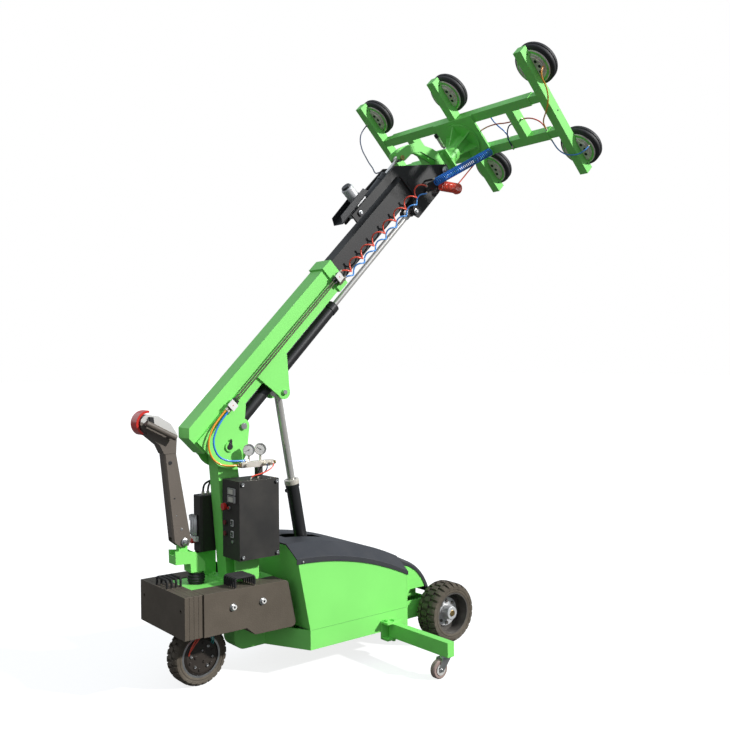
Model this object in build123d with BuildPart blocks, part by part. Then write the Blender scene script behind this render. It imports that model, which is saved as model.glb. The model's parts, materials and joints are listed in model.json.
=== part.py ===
"""Vacuum glass trolley: a pedestrian glazing lifter with a telescopic boom and a six-cup vacuum frame.

Millimetres, +X forwards, +Y to the trolley's left, +Z up, ground at Z = 0.
"""

from build123d import *
from dataclasses import dataclass
import os
from math import atan2, cos, hypot, pi, radians, sin, sqrt

os.makedirs("parts", exist_ok=True)

# Running gear, measured forwards from the drive axle
wheelbase = 1418.0
drive_wheel_r = 149.0
drive_tyre_w = 100.0
drive_rim_r = 105.0
drive_motor_r = 92.0
drive_stub_r = 30.0
front_wheel_r = 168.0
front_tyre_w = 140.0
front_rim_r = 116.0
front_track_half = 316.0
axle_r = 20.0
axle_beam = 60.0

# Fits and gaps
run_fit = 0.05
slide_gap = 0.3
side_gap = 0.5
sheet = 4.0
plate = 8.0
cover_ease = 0.4

# Chassis tray and body
body_half_w = 299.0
tray_bottom = 137.0
tray_top = 238.0
tray_rear_corner_x = 485.0
tray_rear_mid_x = 365.0
tray_front_x = wheelbase - 273.0
nose_half_w = 215.0
nose_front_x = wheelbase - axle_beam / 2 - 4.0
neck_half_w = 55.0
neck_rear_x = 185.0
neck_corner_r = 60.0
beam_half_w = 125.0
beam_bottom = 335.0
deck_z = 505.0
beam_rear_x = -91.0
body_rear_top_x = 403.0
bulkhead_top = 668.0

# Cover over the body
cover_lip_rear = (412.0, 586.0)
cover_lip_front = (tray_front_x, 416.0)
cover_lip_mid = ((cover_lip_rear[0] + cover_lip_front[0]) / 2, 545.4)
cover_rise = 90.0
cover_slope_in = 98.0
cover_slope_drop = 62.0
cover_lip = 32.0
nose_turn_x = tray_front_x + 85.0
nose_band = 24.0
nose_low_z = 285.0
nose_shoulder_r = 14.0
well_in_y = 150.0
well_roof_z = 303.0
well_ease = 54.0
cover_slot = (500.0, 745.0, 52.0)

# Ballast
ballast_bottom = 306.0
ballast_top = 510.0
rear_plate_t = 24.0
rear_plates = 4
rear_ballast_x = -187.0
rear_half_w = 237.0
side_plate_t = 20.0
side_plates = 6
side_outer_y = 245.0
side_front_top_x = 390.0
side_front_low_x = 441.0
side_corner_r = 24.0
rear_corner_r = 3.0
handle_wire_r = 6.0
handle_span = 110.0
handle_rise = 42.0
rear_handle_y = 20.0
side_handle_x = 140.0
side_bolt_x = (67.0, 235.0)
side_bolt_z = 424.0
rear_bolt_y = 196.0
rear_bolt_z = 437.0
ballast_bolt_r = 8.5

# Mast and boom
pivot_x = 156.0
pivot_z = 1181.0
boom_angle = 45.0
mast_half_w = 45.0
mast_rear_low_x = 150.0
mast_rear_high_x = 100.0
mast_front_low_x = 292.0
mast_front_high_x = 214.0
mast_neck_z = 1110.0
mast_head_r = 64.0
boom_pin_r = 25.0
boom_w = 112.0
boom_low = 76.0
boom_high = 226.0
boom_wall = 6.0
boom_tail = -116.0
boom_tail_cut = 36.0
boom_end = 1154.0
collar_start = 1080.0
collar_grow = 10.0
cheek_t = 14.0
cheek_r = 110.0
tele_base = (128.0, 13.0)
tele_pin_r = 12.5
tele_barrel_r = 33.0
tele_rod_r = 16.0
tele_gland = 1010.0
tele_tip = 1841.0
lug_pin = (425.0, -50.0)
lug_pin_r = 15.0
lug_t = 12.0

# Inner boom and head
inner_w = 88.0
inner_low = 88.0
inner_high = 214.0
inner_rear = 700.0
inner_end = 1930.0
head_t = 12.0
tilt_pivot = (2206.0, 36.0)
tilt_pin_r = 15.0
tilt_hook = (1998.0, 297.0)
hook_pin_r = 10.0
tilt_base = (1508.0, 277.0)
lever_in = 24.0
lever_out = 38.0
hub_n = 40.0
hub_face = tilt_pivot[0] + 84.0
spindle_r = 25.0
actuator_r = 22.0
actuator_rod_r = 10.0
actuator_bore_from = 40.0
actuator_spare = 34.0
actuator_len = 345.0

# Lift cylinder
lift_base = (700.0, 300.0)
lift_ear_y = (40.0, 54.0)
lift_stub_y = 31.5
lift_ear_rise = 34.0
lift_ear_spread = 90.0
lift_barrel_r = 35.0
lift_rod_r = 20.0
lift_barrel_len = 682.0
lift_rod_len = 640.0
lift_eye_r = 28.0
lift_foot_r = 32.0
lift_neck_r = 28.0
lift_neck_len = 30.0

# Vacuum frame, across the boom
frame_reach = 245.0
frame_back = hub_face + frame_reach
frame_depth = 60.0
tube_wall = 4.0
arm_w = 54.0
rail_w = 56.0
rail_pitch = 240.0
stub_in = 300.0
arm_half = 420.0
arm_y = 700.0
rail_end = arm_y - 90.0
bar_y = 436.0
hub_plate_half = 165.0
hub_flange_r = 125.0
cup_pitch = 570.0
cup_r = 125.0
cup_plate_r = 98.0
cup_plate_t = 6.0
cup_depth = 56.0

# Outriggers and casters
outrigger_x = tray_front_x - 133.0
outrigger_pivot_y = body_half_w + 36.0
outrigger_tip_y = outrigger_pivot_y + 440.0
outrigger_w = 45.0
outrigger_low = 110.0
outrigger_high = 185.0
outrigger_pin_r = 10.0
caster_y = outrigger_tip_y - 47.0
caster_trail = 40.0
caster_r = 48.0
caster_w = 32.0

# Tiller
tiller_pivot = (-77.0, 726.0)
tiller_half_w = 30.0
tiller_heel = 60.0
tiller_pin_r = 10.0
column_r = 30.0
tiller_bend = (-150.0, 1165.0)
tiller_grip = (-262.0, 1318.0)
tiller_head_half = 32.0
head_end_r = 42.0
bumper_in_r = 51.0
bumper_r = 62.0
bar_reach = 69.0
bar_r = 14.0
bar_stub_r = 11.0
tongue_half_w = 14.0
tongue_r = 24.0

# Control box, hydraulics and vacuum fittings
box_rear_x = 119.0
box_front_x = 350.0
box_in_y = 62.0
box_out_y = 225.0
box_low = 632.0
box_high = 1022.0
lid_t = 4.0
post_rise = 53.0
estop_stem_r = 8.0
estop_r = 18.0
rocker_w = 16.0
rocker_h = 24.0
rocker_half = 7.0
rocker_pin_r = 2.0
hyd_rear_x = 62.0
hyd_front_x = 182.0
hyd_in_y = 58.0
hyd_out_y = 145.0
hyd_low = 640.0
hyd_high = 925.0
gauge_r = 29.0
lever_pitch = 26.0
hyd_foot = 14.0

# Hoses
loop_r = 5.0
pu_r = 4.0
spiral_r = 4.5
tube_r = 4.0
fitting_r = 6.0
end_cut = 1.3
spiral_turns = 7.5
spiral_coil_r = (22.0, 12.0)
red_turns = 12.5
red_coil_r = 28.0
blue_turns = 33.5
blue_coil_r = 21.0

# Where the drive axle lies so that the origin is midway between the tiller's rear and the cups' front
boom_dir = (cos(radians(boom_angle)), sin(radians(boom_angle)))
cup_front = frame_back + frame_depth + cup_plate_t + cup_depth
cup_low_n = hub_n - cup_pitch / 2 - cup_r
front_reach = pivot_x + cup_front * boom_dir[0] - cup_low_n * boom_dir[1]
rear_reach = tiller_grip[0] - bumper_r
drive_x = -(front_reach + rear_reach) / 2

ground = Plane((drive_x, 0, 0))
side = Plane((drive_x, 0, 0), x_dir=(1, 0, 0), z_dir=(0, -1, 0))
boom_at = (drive_x + pivot_x, 0, pivot_z)
boom_side = Plane(boom_at, x_dir=(boom_dir[0], 0, boom_dir[1]), z_dir=(0, -1, 0))
boom_cross = Plane(boom_at, x_dir=(0, 1, 0), z_dir=(boom_dir[0], 0, boom_dir[1]))


def save(piece, node):
    """Label a finished piece and write its STEP file."""
    piece.part.label = node
    export_step(piece.part, f"parts/{node}.step")


def slab(plane, points, y_from, y_to, mode=Mode.ADD):
    """Extrude a straight-sided outline of a side plane between two Y values."""
    with BuildSketch(plane.offset(-y_to)) as outline:
        with BuildLine():
            Polyline(*points, close=True)
        make_face()
    extrude(outline.sketch, amount=y_to - y_from, mode=mode)


def round_y(plane, at, radius, y_from, y_to, mode=Mode.ADD):
    """Extrude a circle of a side plane between two Y values."""
    with BuildSketch(plane.offset(-y_to)) as outline:
        with Locations(at):
            Circle(radius)
    extrude(outline.sketch, amount=y_to - y_from, mode=mode)


def block(x, y, z, mode=Mode.ADD):
    """A box between two corners given as (low, high) spans from the drive axle."""
    with BuildSketch(ground.offset(z[0])) as outline:
        with Locations(((x[0] + x[1]) / 2, (y[0] + y[1]) / 2)):
            Rectangle(x[1] - x[0], y[1] - y[0])
    extrude(outline.sketch, amount=z[1] - z[0], mode=mode)


def across(s, y, n, mode=Mode.ADD):
    """A box in the boom's own frame, between spans along it, across it and square to it."""
    with BuildSketch(boom_cross.offset(s[0])) as outline:
        with Locations(((y[0] + y[1]) / 2, (n[0] + n[1]) / 2)):
            Rectangle(y[1] - y[0], n[1] - n[0])
    extrude(outline.sketch, amount=s[1] - s[0], mode=mode)


def disc_s(at, radius, s_from, s_to, mode=Mode.ADD):
    """A cylinder along the boom's direction at a place (y, n)."""
    with BuildSketch(boom_cross.offset(s_from)) as outline:
        with Locations(at):
            Circle(radius)
    extrude(outline.sketch, amount=s_to - s_from, mode=mode)


def post(at, radius, z_from, z_to, mode=Mode.ADD):
    """An upright cylinder at a place (x, y) from the drive axle."""
    with BuildSketch(ground.offset(z_from)) as outline:
        with Locations(at):
            Circle(radius)
    extrude(outline.sketch, amount=z_to - z_from, mode=mode)


def revolve_y(at, points, mode=Mode.ADD):
    """Turn a closed run of (y, radius) points about a Y axle at (x, z) from the drive axle."""
    hub = Plane((drive_x + at[0], 0, at[1]), x_dir=(0, 1, 0), z_dir=(1, 0, 0))
    with BuildSketch(hub) as outline:
        with BuildLine():
            Polyline(*points, close=True)
        make_face()
    revolve(outline.sketch, axis=Axis(hub.origin, (0, 1, 0)), mode=mode)


def mirrored(points, sign):
    """The same outline on the right (-1) or left (+1) side."""
    return [(sign * y, r) for y, r in points]


def boom_point(s, y, n):
    """A place in the boom's own frame as a point of the model."""
    return boom_cross.from_local_coords((y, n, s))


def axle_point(x, y, z):
    """A place measured from the drive axle as a point of the model."""
    return Vector(drive_x + x, y, z)


def rounded_runs(points):
    """Draw straight runs joined by tangent arcs, as large as the runs allow; returns the least radius."""
    runs = [(b - a).length for a, b in zip(points, points[1:])]
    tightest = float("inf")
    here = points[0]
    for i in range(1, len(points) - 1):
        go_in = (points[i] - points[i - 1]).normalized()
        go_out = (points[i + 1] - points[i]).normalized()
        reach = 0.45 * min(runs[i - 1], runs[i])
        half_turn = radians(go_in.get_angle(go_out)) / 2
        tightest = min(tightest, reach * cos(half_turn) / sin(half_turn))
        Line(here, points[i] - go_in * reach)
        TangentArc(points[i] - go_in * reach, points[i] + go_out * reach, tangent=go_in)
        here = points[i] + go_out * reach
    Line(here, points[-1])
    return tightest


def square_end(at, direction, radius):
    """Cut a hose off square at its end face."""
    with BuildSketch(Plane(at, z_dir=direction)) as ring:
        Circle(end_cut * radius)
    extrude(ring.sketch, amount=radius, mode=Mode.SUBTRACT)


def hose(points, radius):
    """A hose of straight runs rounded by tangent arcs; returns its tightest bend."""
    with BuildLine() as route:
        tightest = rounded_runs(points)
    with BuildSketch(Plane(points[0], z_dir=points[1] - points[0])) as ring:
        Circle(radius)
    sweep(ring.sketch, path=route.wires()[0])
    square_end(points[0], points[0] - points[1], radius)
    square_end(points[-1], points[-1] - points[-2], radius)
    return round(tightest, 1)


def fitting(at, direction, length):
    """A round hose fitting that starts at a hose's end face."""
    with BuildSketch(Plane(at, z_dir=direction)) as ring:
        Circle(fitting_r)
    extrude(ring.sketch, amount=length)


@dataclass
class Curl:
    """An air line curled evenly round the straight from start to end, first turn upwards."""

    start: Vector
    end: Vector
    coil_r: float
    turns: float
    radius: float

    def __post_init__(self):
        axis = self.end - self.start
        self.along = axis.normalized()
        up = boom_cross.y_dir
        self.first = (up - self.along * up.dot(self.along)).normalized()
        self.second = self.along.cross(self.first)
        self.quarters = round(4 * self.turns)
        self.step = axis * (1 / self.quarters)
        self.climb = axis.length / (2 * pi * self.turns)

    def place(self, k):
        """The tube's middle after k quarter turns."""
        turn = k * pi / 2
        swing = (self.first * cos(turn) + self.second * sin(turn)) * self.coil_r
        return self.start + self.step * k + swing

    def heading(self, k):
        """The tube's direction after k quarter turns."""
        turn = k * pi / 2
        swing = (self.second * cos(turn) - self.first * sin(turn)) * self.coil_r
        return (self.along * self.climb + swing).normalized()

    def tail(self, k, sign):
        """The end of the straight that runs on from the first or last turn."""
        return self.place(k) + self.heading(k) * sign * 2 * self.radius

    def wind(self, run_on=()):
        """Sweep the tube, on biarcs of a quarter turn, and return its least gap to itself."""
        last = self.quarters
        with BuildLine() as route:
            Line(self.tail(0, -1), self.place(0))
            for k in range(last):
                p0, p1 = self.place(k), self.place(k + 1)
                t0, t1 = self.heading(k), self.heading(k + 1)
                chord = p1 - p0
                both = chord.dot(t0 + t1)
                spread = 2 * (1 - t0.dot(t1))
                reach = (sqrt(both * both + 2 * spread * chord.dot(chord)) - both) / (2 * spread)
                middle = (p0 + t0 * reach + p1 - t1 * reach) * 0.5
                half_way = (p1 - t1 * reach - p0 - t0 * reach).normalized()
                TangentArc(p0, middle, tangent=t0)
                TangentArc(middle, p1, tangent=half_way)
            if run_on:
                rounded_runs([self.place(last), *run_on])
            else:
                Line(self.place(last), self.tail(last, 1))
        far_end = run_on[-1] if run_on else self.tail(last, 1)
        far_way = run_on[-1] - run_on[-2] if run_on else self.heading(last)
        with BuildSketch(Plane(self.tail(0, -1), z_dir=self.heading(0))) as ring:
            Circle(self.radius)
        sweep(ring.sketch, path=route.wires()[0])
        square_end(self.tail(0, -1), -self.heading(0), self.radius)
        square_end(far_end, far_way, self.radius)
        pitch = (self.end - self.start).length / self.turns
        return round(pitch * self.coil_r / sqrt(self.coil_r**2 + self.climb**2) - 2 * self.radius, 1)


# Chassis weldment: tray, neck, steering beam, deck, lift bracket and outrigger brackets
neck_top = beam_bottom + plate
tray_plan = [
    (tray_rear_mid_x, neck_half_w),
    (tray_rear_corner_x, body_half_w),
    (tray_front_x, body_half_w),
    (tray_front_x, nose_half_w),
    (nose_front_x, nose_half_w),
    (nose_front_x, -nose_half_w),
    (tray_front_x, -nose_half_w),
    (tray_front_x, -body_half_w),
    (tray_rear_corner_x, -body_half_w),
    (tray_rear_mid_x, -neck_half_w),
]
bracket_x = outrigger_w / 2 + 14.0
with BuildPart() as chassis_frame:
    with BuildSketch(ground.offset(tray_bottom)):
        with BuildLine():
            Polyline(*tray_plan, close=True)
        make_face()
    extrude(amount=tray_top - tray_bottom)
    with BuildSketch(ground.offset(tray_bottom + plate)):
        with BuildLine():
            Polyline(*tray_plan, close=True)
        make_face()
        offset(amount=-plate, mode=Mode.REPLACE)
    extrude(amount=tray_top, mode=Mode.SUBTRACT)
    with BuildSketch(side.offset(-neck_half_w)):
        with BuildLine():
            Polyline(
                (tray_rear_mid_x + plate, tray_bottom),
                (neck_rear_x, tray_bottom),
                (neck_rear_x, neck_top),
                (tray_rear_mid_x + plate, neck_top),
                close=True,
            )
        neck_face = make_face()
        fillet(neck_face.vertices().sort_by(Axis.X)[:2].sort_by(Axis.Z)[0], neck_corner_r)
    extrude(amount=2 * neck_half_w)
    slab(
        side,
        [
            (neck_rear_x + plate, tray_bottom + neck_corner_r),
            (tray_rear_mid_x, tray_bottom + neck_corner_r),
            (tray_rear_mid_x, neck_top - 2 * plate),
            (neck_rear_x + plate, neck_top - 2 * plate),
        ],
        -neck_half_w + plate,
        neck_half_w - plate,
        Mode.SUBTRACT,
    )
    block((beam_rear_x, tray_rear_mid_x + plate), (-beam_half_w, beam_half_w), (beam_bottom, deck_z))
    block(
        (beam_rear_x + plate, tray_rear_mid_x),
        (-beam_half_w + plate, beam_half_w - plate),
        (beam_bottom + plate, deck_z - plate),
        Mode.SUBTRACT,
    )
    post((0, 0), column_r + 14.0, beam_bottom, deck_z)
    post((0, 0), column_r + run_fit, beam_bottom, deck_z, Mode.SUBTRACT)
    for y_sign in (-1, 1):
        ear_y = sorted((y_sign * lift_ear_y[0], y_sign * lift_ear_y[1]))
        slab(
            side,
            [
                (lift_base[0] - lift_ear_spread, tray_bottom + plate),
                (lift_base[0] - lift_ear_rise, lift_base[1] + lift_ear_rise),
                (lift_base[0] + lift_ear_rise, lift_base[1] + lift_ear_rise),
                (lift_base[0] + lift_ear_spread, tray_bottom + plate),
            ],
            *ear_y,
        )
        stub_y = sorted((y_sign * lift_stub_y, y_sign * lift_ear_y[1]))
        round_y(side, lift_base, lug_pin_r, *stub_y)
        back_y = sorted((y_sign * body_half_w, y_sign * (body_half_w + plate)))
        ear_reach = sorted((y_sign * body_half_w, y_sign * (outrigger_pivot_y + 22.0)))
        bracket_span = (outrigger_x - bracket_x - 26.0, outrigger_x + bracket_x)
        block(bracket_span, back_y, (outrigger_low - 11.0, outrigger_high + 11.0))
        block(bracket_span, ear_reach, (outrigger_high + side_gap, outrigger_high + 11.0))
        block(bracket_span, ear_reach, (outrigger_low - 11.0, outrigger_low - side_gap))
        post(
            (outrigger_x, y_sign * outrigger_pivot_y),
            outrigger_pin_r,
            outrigger_low - 24.0,
            outrigger_high + 20.0,
        )
        with BuildSketch(ground.offset(outrigger_high + 11.0)):
            with Locations(
                (outrigger_x, y_sign * outrigger_pivot_y),
                (outrigger_x - 38.0, y_sign * (body_half_w + 24.0)),
            ):
                RegularPolygon(15.0, 6)
        extrude(amount=9.0)
    slab(
        side,
        [
            (mast_rear_low_x + 2.0, deck_z),
            (box_front_x - 60.0, deck_z),
            (box_front_x - 60.0, box_low),
            (mast_rear_low_x + 2.0, box_low),
        ],
        -beam_half_w,
        -beam_half_w + plate,
    )
    slab(
        side,
        [
            (hyd_rear_x + 4.0, deck_z),
            (hyd_front_x - 4.0, deck_z),
            (hyd_front_x - 4.0, hyd_low - hyd_foot),
            (hyd_rear_x + 4.0, hyd_low - hyd_foot),
        ],
        beam_half_w - plate,
        beam_half_w,
    )
save(chassis_frame, "chassis_frame")

# Body shell: side panels, sloping bulkhead, nose cheeks and the wells of the front wheels
panel_top = [
    (x, z + cover_lip * 0.35) for x, z in (cover_lip_rear, cover_lip_mid, cover_lip_front)
]
arch_r = front_wheel_r + well_ease
nose_rear_x = tray_front_x - 60.0
crown_front = (tray_front_x, cover_lip_front[1] + cover_rise)
nose_rear_z = crown_front[1] + 26.0
nose_turn_z = crown_front[1] - (nose_turn_x - tray_front_x) * 0.5
nose_fall = (nose_turn_z - nose_rear_z) / (nose_turn_x - nose_rear_x)
cheek_drop = (nose_band + sheet) / 2
cheek_rear_x = tray_front_x + sheet + 2.0
well_front_x = nose_front_x - 42.0
with BuildPart() as body_shell:
    for y_sign in (-1, 1):
        panel_y = sorted((y_sign * (body_half_w - cover_ease), y_sign * (body_half_w - sheet)))
        with BuildSketch(side.offset(-panel_y[1])):
            with BuildLine():
                Line((tray_rear_corner_x, tray_top), (body_rear_top_x + 9.0, panel_top[0][1]))
                ThreePointArc(
                    (body_rear_top_x + 9.0, panel_top[0][1]), panel_top[1], panel_top[2]
                )
                Polyline(panel_top[2], (tray_front_x, tray_top), (tray_rear_corner_x, tray_top))
            make_face()
        extrude(amount=sheet - cover_ease)
        nose_y = sorted((y_sign * (nose_half_w - cover_ease), y_sign * (nose_half_w - sheet)))
        cheek_rear_z = nose_rear_z + nose_fall * (cheek_rear_x - nose_rear_x) - cheek_drop
        with BuildSketch(side.offset(-nose_y[1])):
            with BuildLine():
                Polyline(
                    (nose_front_x + sheet - cheek_drop, nose_low_z),
                    (nose_front_x + sheet - cheek_drop, tray_top),
                    (tray_front_x - sheet, tray_top),
                    (tray_front_x - sheet, cover_lip_front[1] - 1.0),
                    (cheek_rear_x, cover_lip_front[1] - 1.0),
                    (cheek_rear_x, cheek_rear_z),
                    (nose_turn_x, nose_turn_z - cheek_drop),
                )
                TangentArc(
                    (nose_turn_x, nose_turn_z - cheek_drop),
                    (nose_front_x + sheet - cheek_drop, nose_low_z),
                    tangent=(1.0, nose_fall),
                )
            make_face()
        extrude(amount=sheet - cover_ease)
        with BuildSketch(side.offset(-nose_y[1])):
            with Locations((wheelbase, front_wheel_r)):
                Circle(arch_r)
            with Locations((wheelbase, well_roof_z + arch_r)):
                Rectangle(2 * arch_r, 2 * arch_r, mode=Mode.SUBTRACT)
        extrude(amount=sheet - cover_ease, mode=Mode.SUBTRACT)
        well_span = (tray_front_x - sheet, well_front_x)
        wall_y = sorted((y_sign * (well_in_y - sheet), y_sign * well_in_y))
        block(well_span, wall_y, (tray_top, well_roof_z + sheet))
        roof_y = sorted((y_sign * well_in_y, y_sign * (nose_half_w - cover_ease)))
        block(well_span, roof_y, (well_roof_z, well_roof_z + sheet))
        step_y = sorted((y_sign * (well_in_y - sheet), y_sign * body_half_w))
        block((tray_front_x - sheet, tray_front_x), step_y, (tray_top, cover_lip_front[1]))
    lean = atan2(tray_rear_corner_x - body_rear_top_x, bulkhead_top - tray_top)
    bulkhead = Plane(
        (drive_x + tray_rear_corner_x, 0, tray_top), x_dir=(0, 1, 0), z_dir=(cos(lean), 0, sin(lean))
    )
    slope_len = hypot(tray_rear_corner_x - body_rear_top_x, bulkhead_top - tray_top)
    inner_half = body_half_w - sheet
    with BuildSketch(bulkhead):
        with BuildLine():
            Polyline(
                (-inner_half, 0),
                (inner_half, 0),
                (inner_half, slope_len - cover_slope_drop - sheet),
                (inner_half - cover_slope_in, slope_len),
                (cover_slope_in - inner_half, slope_len),
                (-inner_half, slope_len - cover_slope_drop - sheet),
                close=True,
            )
        make_face()
    extrude(amount=sheet)
save(body_shell, "body_shell")

# Black moulded cover, open underneath, with a slot for the lift cylinder
crown_rear = (body_rear_top_x, cover_lip_rear[1] + cover_rise)
crown_mid = (cover_lip_mid[0], cover_lip_mid[1] + cover_rise)


def cover_body(inset, half_w, front):
    """The cover's broad rear part, grown inwards by an inset."""
    drop = (0, -inset)
    with BuildPart() as body:
        with BuildSketch(side.offset(-half_w)):
            with BuildLine():
                ThreePointArc(
                    Vector(*crown_rear) + Vector(*drop),
                    Vector(*crown_mid) + Vector(*drop),
                    Vector(front, crown_front[1]) + Vector(*drop),
                )
                Line(
                    Vector(front, crown_front[1]) + Vector(*drop),
                    (front, cover_lip_front[1] - 3 * inset),
                )
                ThreePointArc(
                    (front, cover_lip_front[1] - 3 * inset),
                    (cover_lip_mid[0], cover_lip_mid[1] - 3 * inset),
                    (body_rear_top_x, cover_lip_rear[1] - 3 * inset),
                )
                Line(
                    (body_rear_top_x, cover_lip_rear[1] - 3 * inset),
                    Vector(*crown_rear) + Vector(*drop),
                )
            make_face()
        extrude(amount=2 * half_w)
        tops = body.faces().filter_by(GeomType.CYLINDER).sort_by(Axis.Z)[-1]
        rims = [e for e in tops.edges() if abs(abs(e.center().Y) - half_w) < 1e-3]
        chamfer(rims, cover_slope_in, cover_slope_drop, reference=tops)
    return body.part


def cover_nose(inset, half_w, shoulder):
    """The cover's narrow front part between the wheels, grown inwards by an inset."""
    front_x = nose_front_x + sheet
    low_z = nose_low_z - 20.0 - 3 * inset
    with BuildPart() as nose:
        with BuildSketch(side.offset(-half_w)):
            with BuildLine():
                Line((nose_rear_x, nose_rear_z - inset), (nose_turn_x, nose_turn_z - inset))
                brow = TangentArc(
                    (nose_turn_x, nose_turn_z - inset),
                    (front_x - inset, nose_low_z),
                    tangent=(1.0, nose_fall),
                )
                way = brow % 0.5
                under = brow @ 0.5 + Vector(way.Y, -way.X) * nose_band
                low_front = (front_x - nose_band - inset, low_z)
                low_turn = (nose_turn_x - 10.0, nose_turn_z - nose_band - 3 * inset)
                Polyline((front_x - inset, nose_low_z), (front_x - inset, low_z), low_front)
                ThreePointArc(low_front, under - Vector(0, 2 * inset), low_turn)
                Polyline(
                    low_turn,
                    (nose_rear_x, crown_front[1] - cover_lip - 3 * inset),
                    (nose_rear_x, nose_rear_z - inset),
                )
            make_face()
        extrude(amount=2 * half_w)
        rims = [e for e in nose.edges().filter_by(GeomType.CIRCLE) if abs(abs(e.center().Y) - half_w) < 1e-3]
        crest = sorted(rims, key=lambda e: e.center().X + e.center().Z)
        fillet(crest[-2:], shoulder)
    return nose.part


outer_body = cover_body(0.0, body_half_w + sheet, tray_front_x + sheet)
inner_body = cover_body(sheet, body_half_w, tray_front_x)
outer_nose = cover_nose(0.0, nose_half_w + sheet, nose_shoulder_r)
inner_nose = cover_nose(sheet, nose_half_w, nose_shoulder_r - sheet)
with BuildPart() as top_cover:
    add(outer_body)
    add(outer_nose)
    add(inner_body, mode=Mode.SUBTRACT)
    add(inner_nose, mode=Mode.SUBTRACT)
    block(
        cover_slot[:2],
        (-cover_slot[2], cover_slot[2]),
        (cover_lip_mid[1], cover_lip_rear[1] + 2 * cover_rise),
        Mode.SUBTRACT,
    )
save(top_cover, "top_cover")

# Mast: leaning box column on a bolted foot, with the boom's bearing at the top
foot_t = 12.0
mast_foot_z = deck_z + foot_t
with BuildPart() as mast:
    mast_outline = [
        (mast_rear_low_x, mast_foot_z),
        (mast_front_low_x, mast_foot_z),
        (mast_front_high_x, mast_neck_z),
        (pivot_x + mast_head_r * 0.9, pivot_z),
        (pivot_x - mast_head_r * 0.9, pivot_z),
        (mast_rear_high_x, mast_neck_z),
    ]
    slab(side, mast_outline, -mast_half_w, mast_half_w)
    round_y(side, (pivot_x, pivot_z), mast_head_r, -mast_half_w, mast_half_w)
    slab(
        side,
        [
            (mast_rear_low_x + plate, mast_foot_z),
            (mast_front_low_x - plate, mast_foot_z),
            (mast_front_high_x - plate, mast_neck_z - 30.0),
            (mast_rear_high_x + plate, mast_neck_z - 30.0),
        ],
        plate - mast_half_w,
        mast_half_w - plate,
        Mode.SUBTRACT,
    )
    mast_boss = boom_w / 2 - side_gap
    round_y(side, (pivot_x, pivot_z), boom_pin_r + 16.0, -mast_boss, mast_boss)
    round_y(side, (pivot_x, pivot_z), boom_pin_r + run_fit, -mast_boss, mast_boss, Mode.SUBTRACT)
    block((mast_rear_low_x - 36.0, mast_front_low_x + 36.0), (-80.0, 80.0), (deck_z, mast_foot_z))
    with BuildSketch(ground.offset(mast_foot_z)):
        with Locations((mast_rear_low_x - 18.0, 0), (mast_front_low_x + 18.0, 0)):
            with GridLocations(0, 120.0, 1, 2):
                RegularPolygon(12.0, 6)
    extrude(amount=9.0)
save(mast, "mast")

# Front axle: square beam with round stubs, bolted under the nose
hub_out = front_track_half + front_tyre_w / 2
with BuildPart() as front_axle:
    beam_y = nose_half_w - plate - 1.0
    block(
        (wheelbase - axle_beam / 2, wheelbase + axle_beam / 2),
        (-beam_y, beam_y),
        (front_wheel_r - axle_beam / 2, front_wheel_r + axle_beam / 2),
    )
    round_y(side, (wheelbase, front_wheel_r), axle_r, -hub_out + 12.0, hub_out - 12.0)
    for y_sign in (-1, 1):
        hanger_y = sorted((y_sign * (nose_half_w - 74.0), y_sign * (nose_half_w - 62.0)))
        slab(
            side,
            [
                (nose_front_x, tray_bottom),
                (wheelbase, front_wheel_r - axle_beam / 2),
                (wheelbase, front_wheel_r + axle_beam / 2),
                (nose_front_x, tray_top),
            ],
            *hanger_y,
        )
save(front_axle, "front_axle")

# Rear ballast: slabs hung across the tail, each with its own wire handle
side_inner_y = side_outer_y - side_plates * side_plate_t
seam = 1.5


def wire_handle(plane, along, foot, top):
    """A round-wire lifting handle standing on a plate's edge."""
    half = handle_span / 2
    with BuildLine(plane) as route:
        FilletPolyline(
            (along - half, foot - 8.0),
            (along - half, top),
            (along + half, top),
            (along + half, foot - 8.0),
            radius=14.0,
        )
    start = Plane(route.line @ 0, z_dir=route.line % 0)
    with BuildSketch(start) as ring:
        Circle(handle_wire_r)
    sweep(ring.sketch, path=route.line)


with BuildPart() as rear_ballast:
    for i in range(rear_plates):
        x_from = rear_ballast_x + i * rear_plate_t
        rear_face = Plane((drive_x + x_from, 0, 0), x_dir=(0, 1, 0), z_dir=(1, 0, 0))
        with BuildSketch(rear_face):
            with Locations((0, (ballast_bottom + ballast_top) / 2)):
                RectangleRounded(2 * rear_half_w, ballast_top - ballast_bottom, rear_corner_r)
            with Locations((-rear_bolt_y, rear_bolt_z), (rear_bolt_y, rear_bolt_z)):
                Circle(ballast_bolt_r, mode=Mode.SUBTRACT)
        extrude(amount=rear_plate_t - seam)
        with BuildSketch(rear_face.offset(rear_plate_t - seam)):
            with Locations((0, (ballast_bottom + ballast_top) / 2)):
                RectangleRounded(
                    2 * (rear_half_w - seam), ballast_top - ballast_bottom - 2 * seam, rear_corner_r
                )
            with Locations((-rear_bolt_y, rear_bolt_z), (rear_bolt_y, rear_bolt_z)):
                Circle(ballast_bolt_r, mode=Mode.SUBTRACT)
        extrude(amount=seam)
        slab_mid = Plane(
            (drive_x + x_from + rear_plate_t / 2, 0, 0), x_dir=(0, 1, 0), z_dir=(1, 0, 0)
        )
        wire_handle(slab_mid, rear_handle_y, ballast_top, ballast_top + handle_rise)
save(rear_ballast, "rear_ballast")

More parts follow.
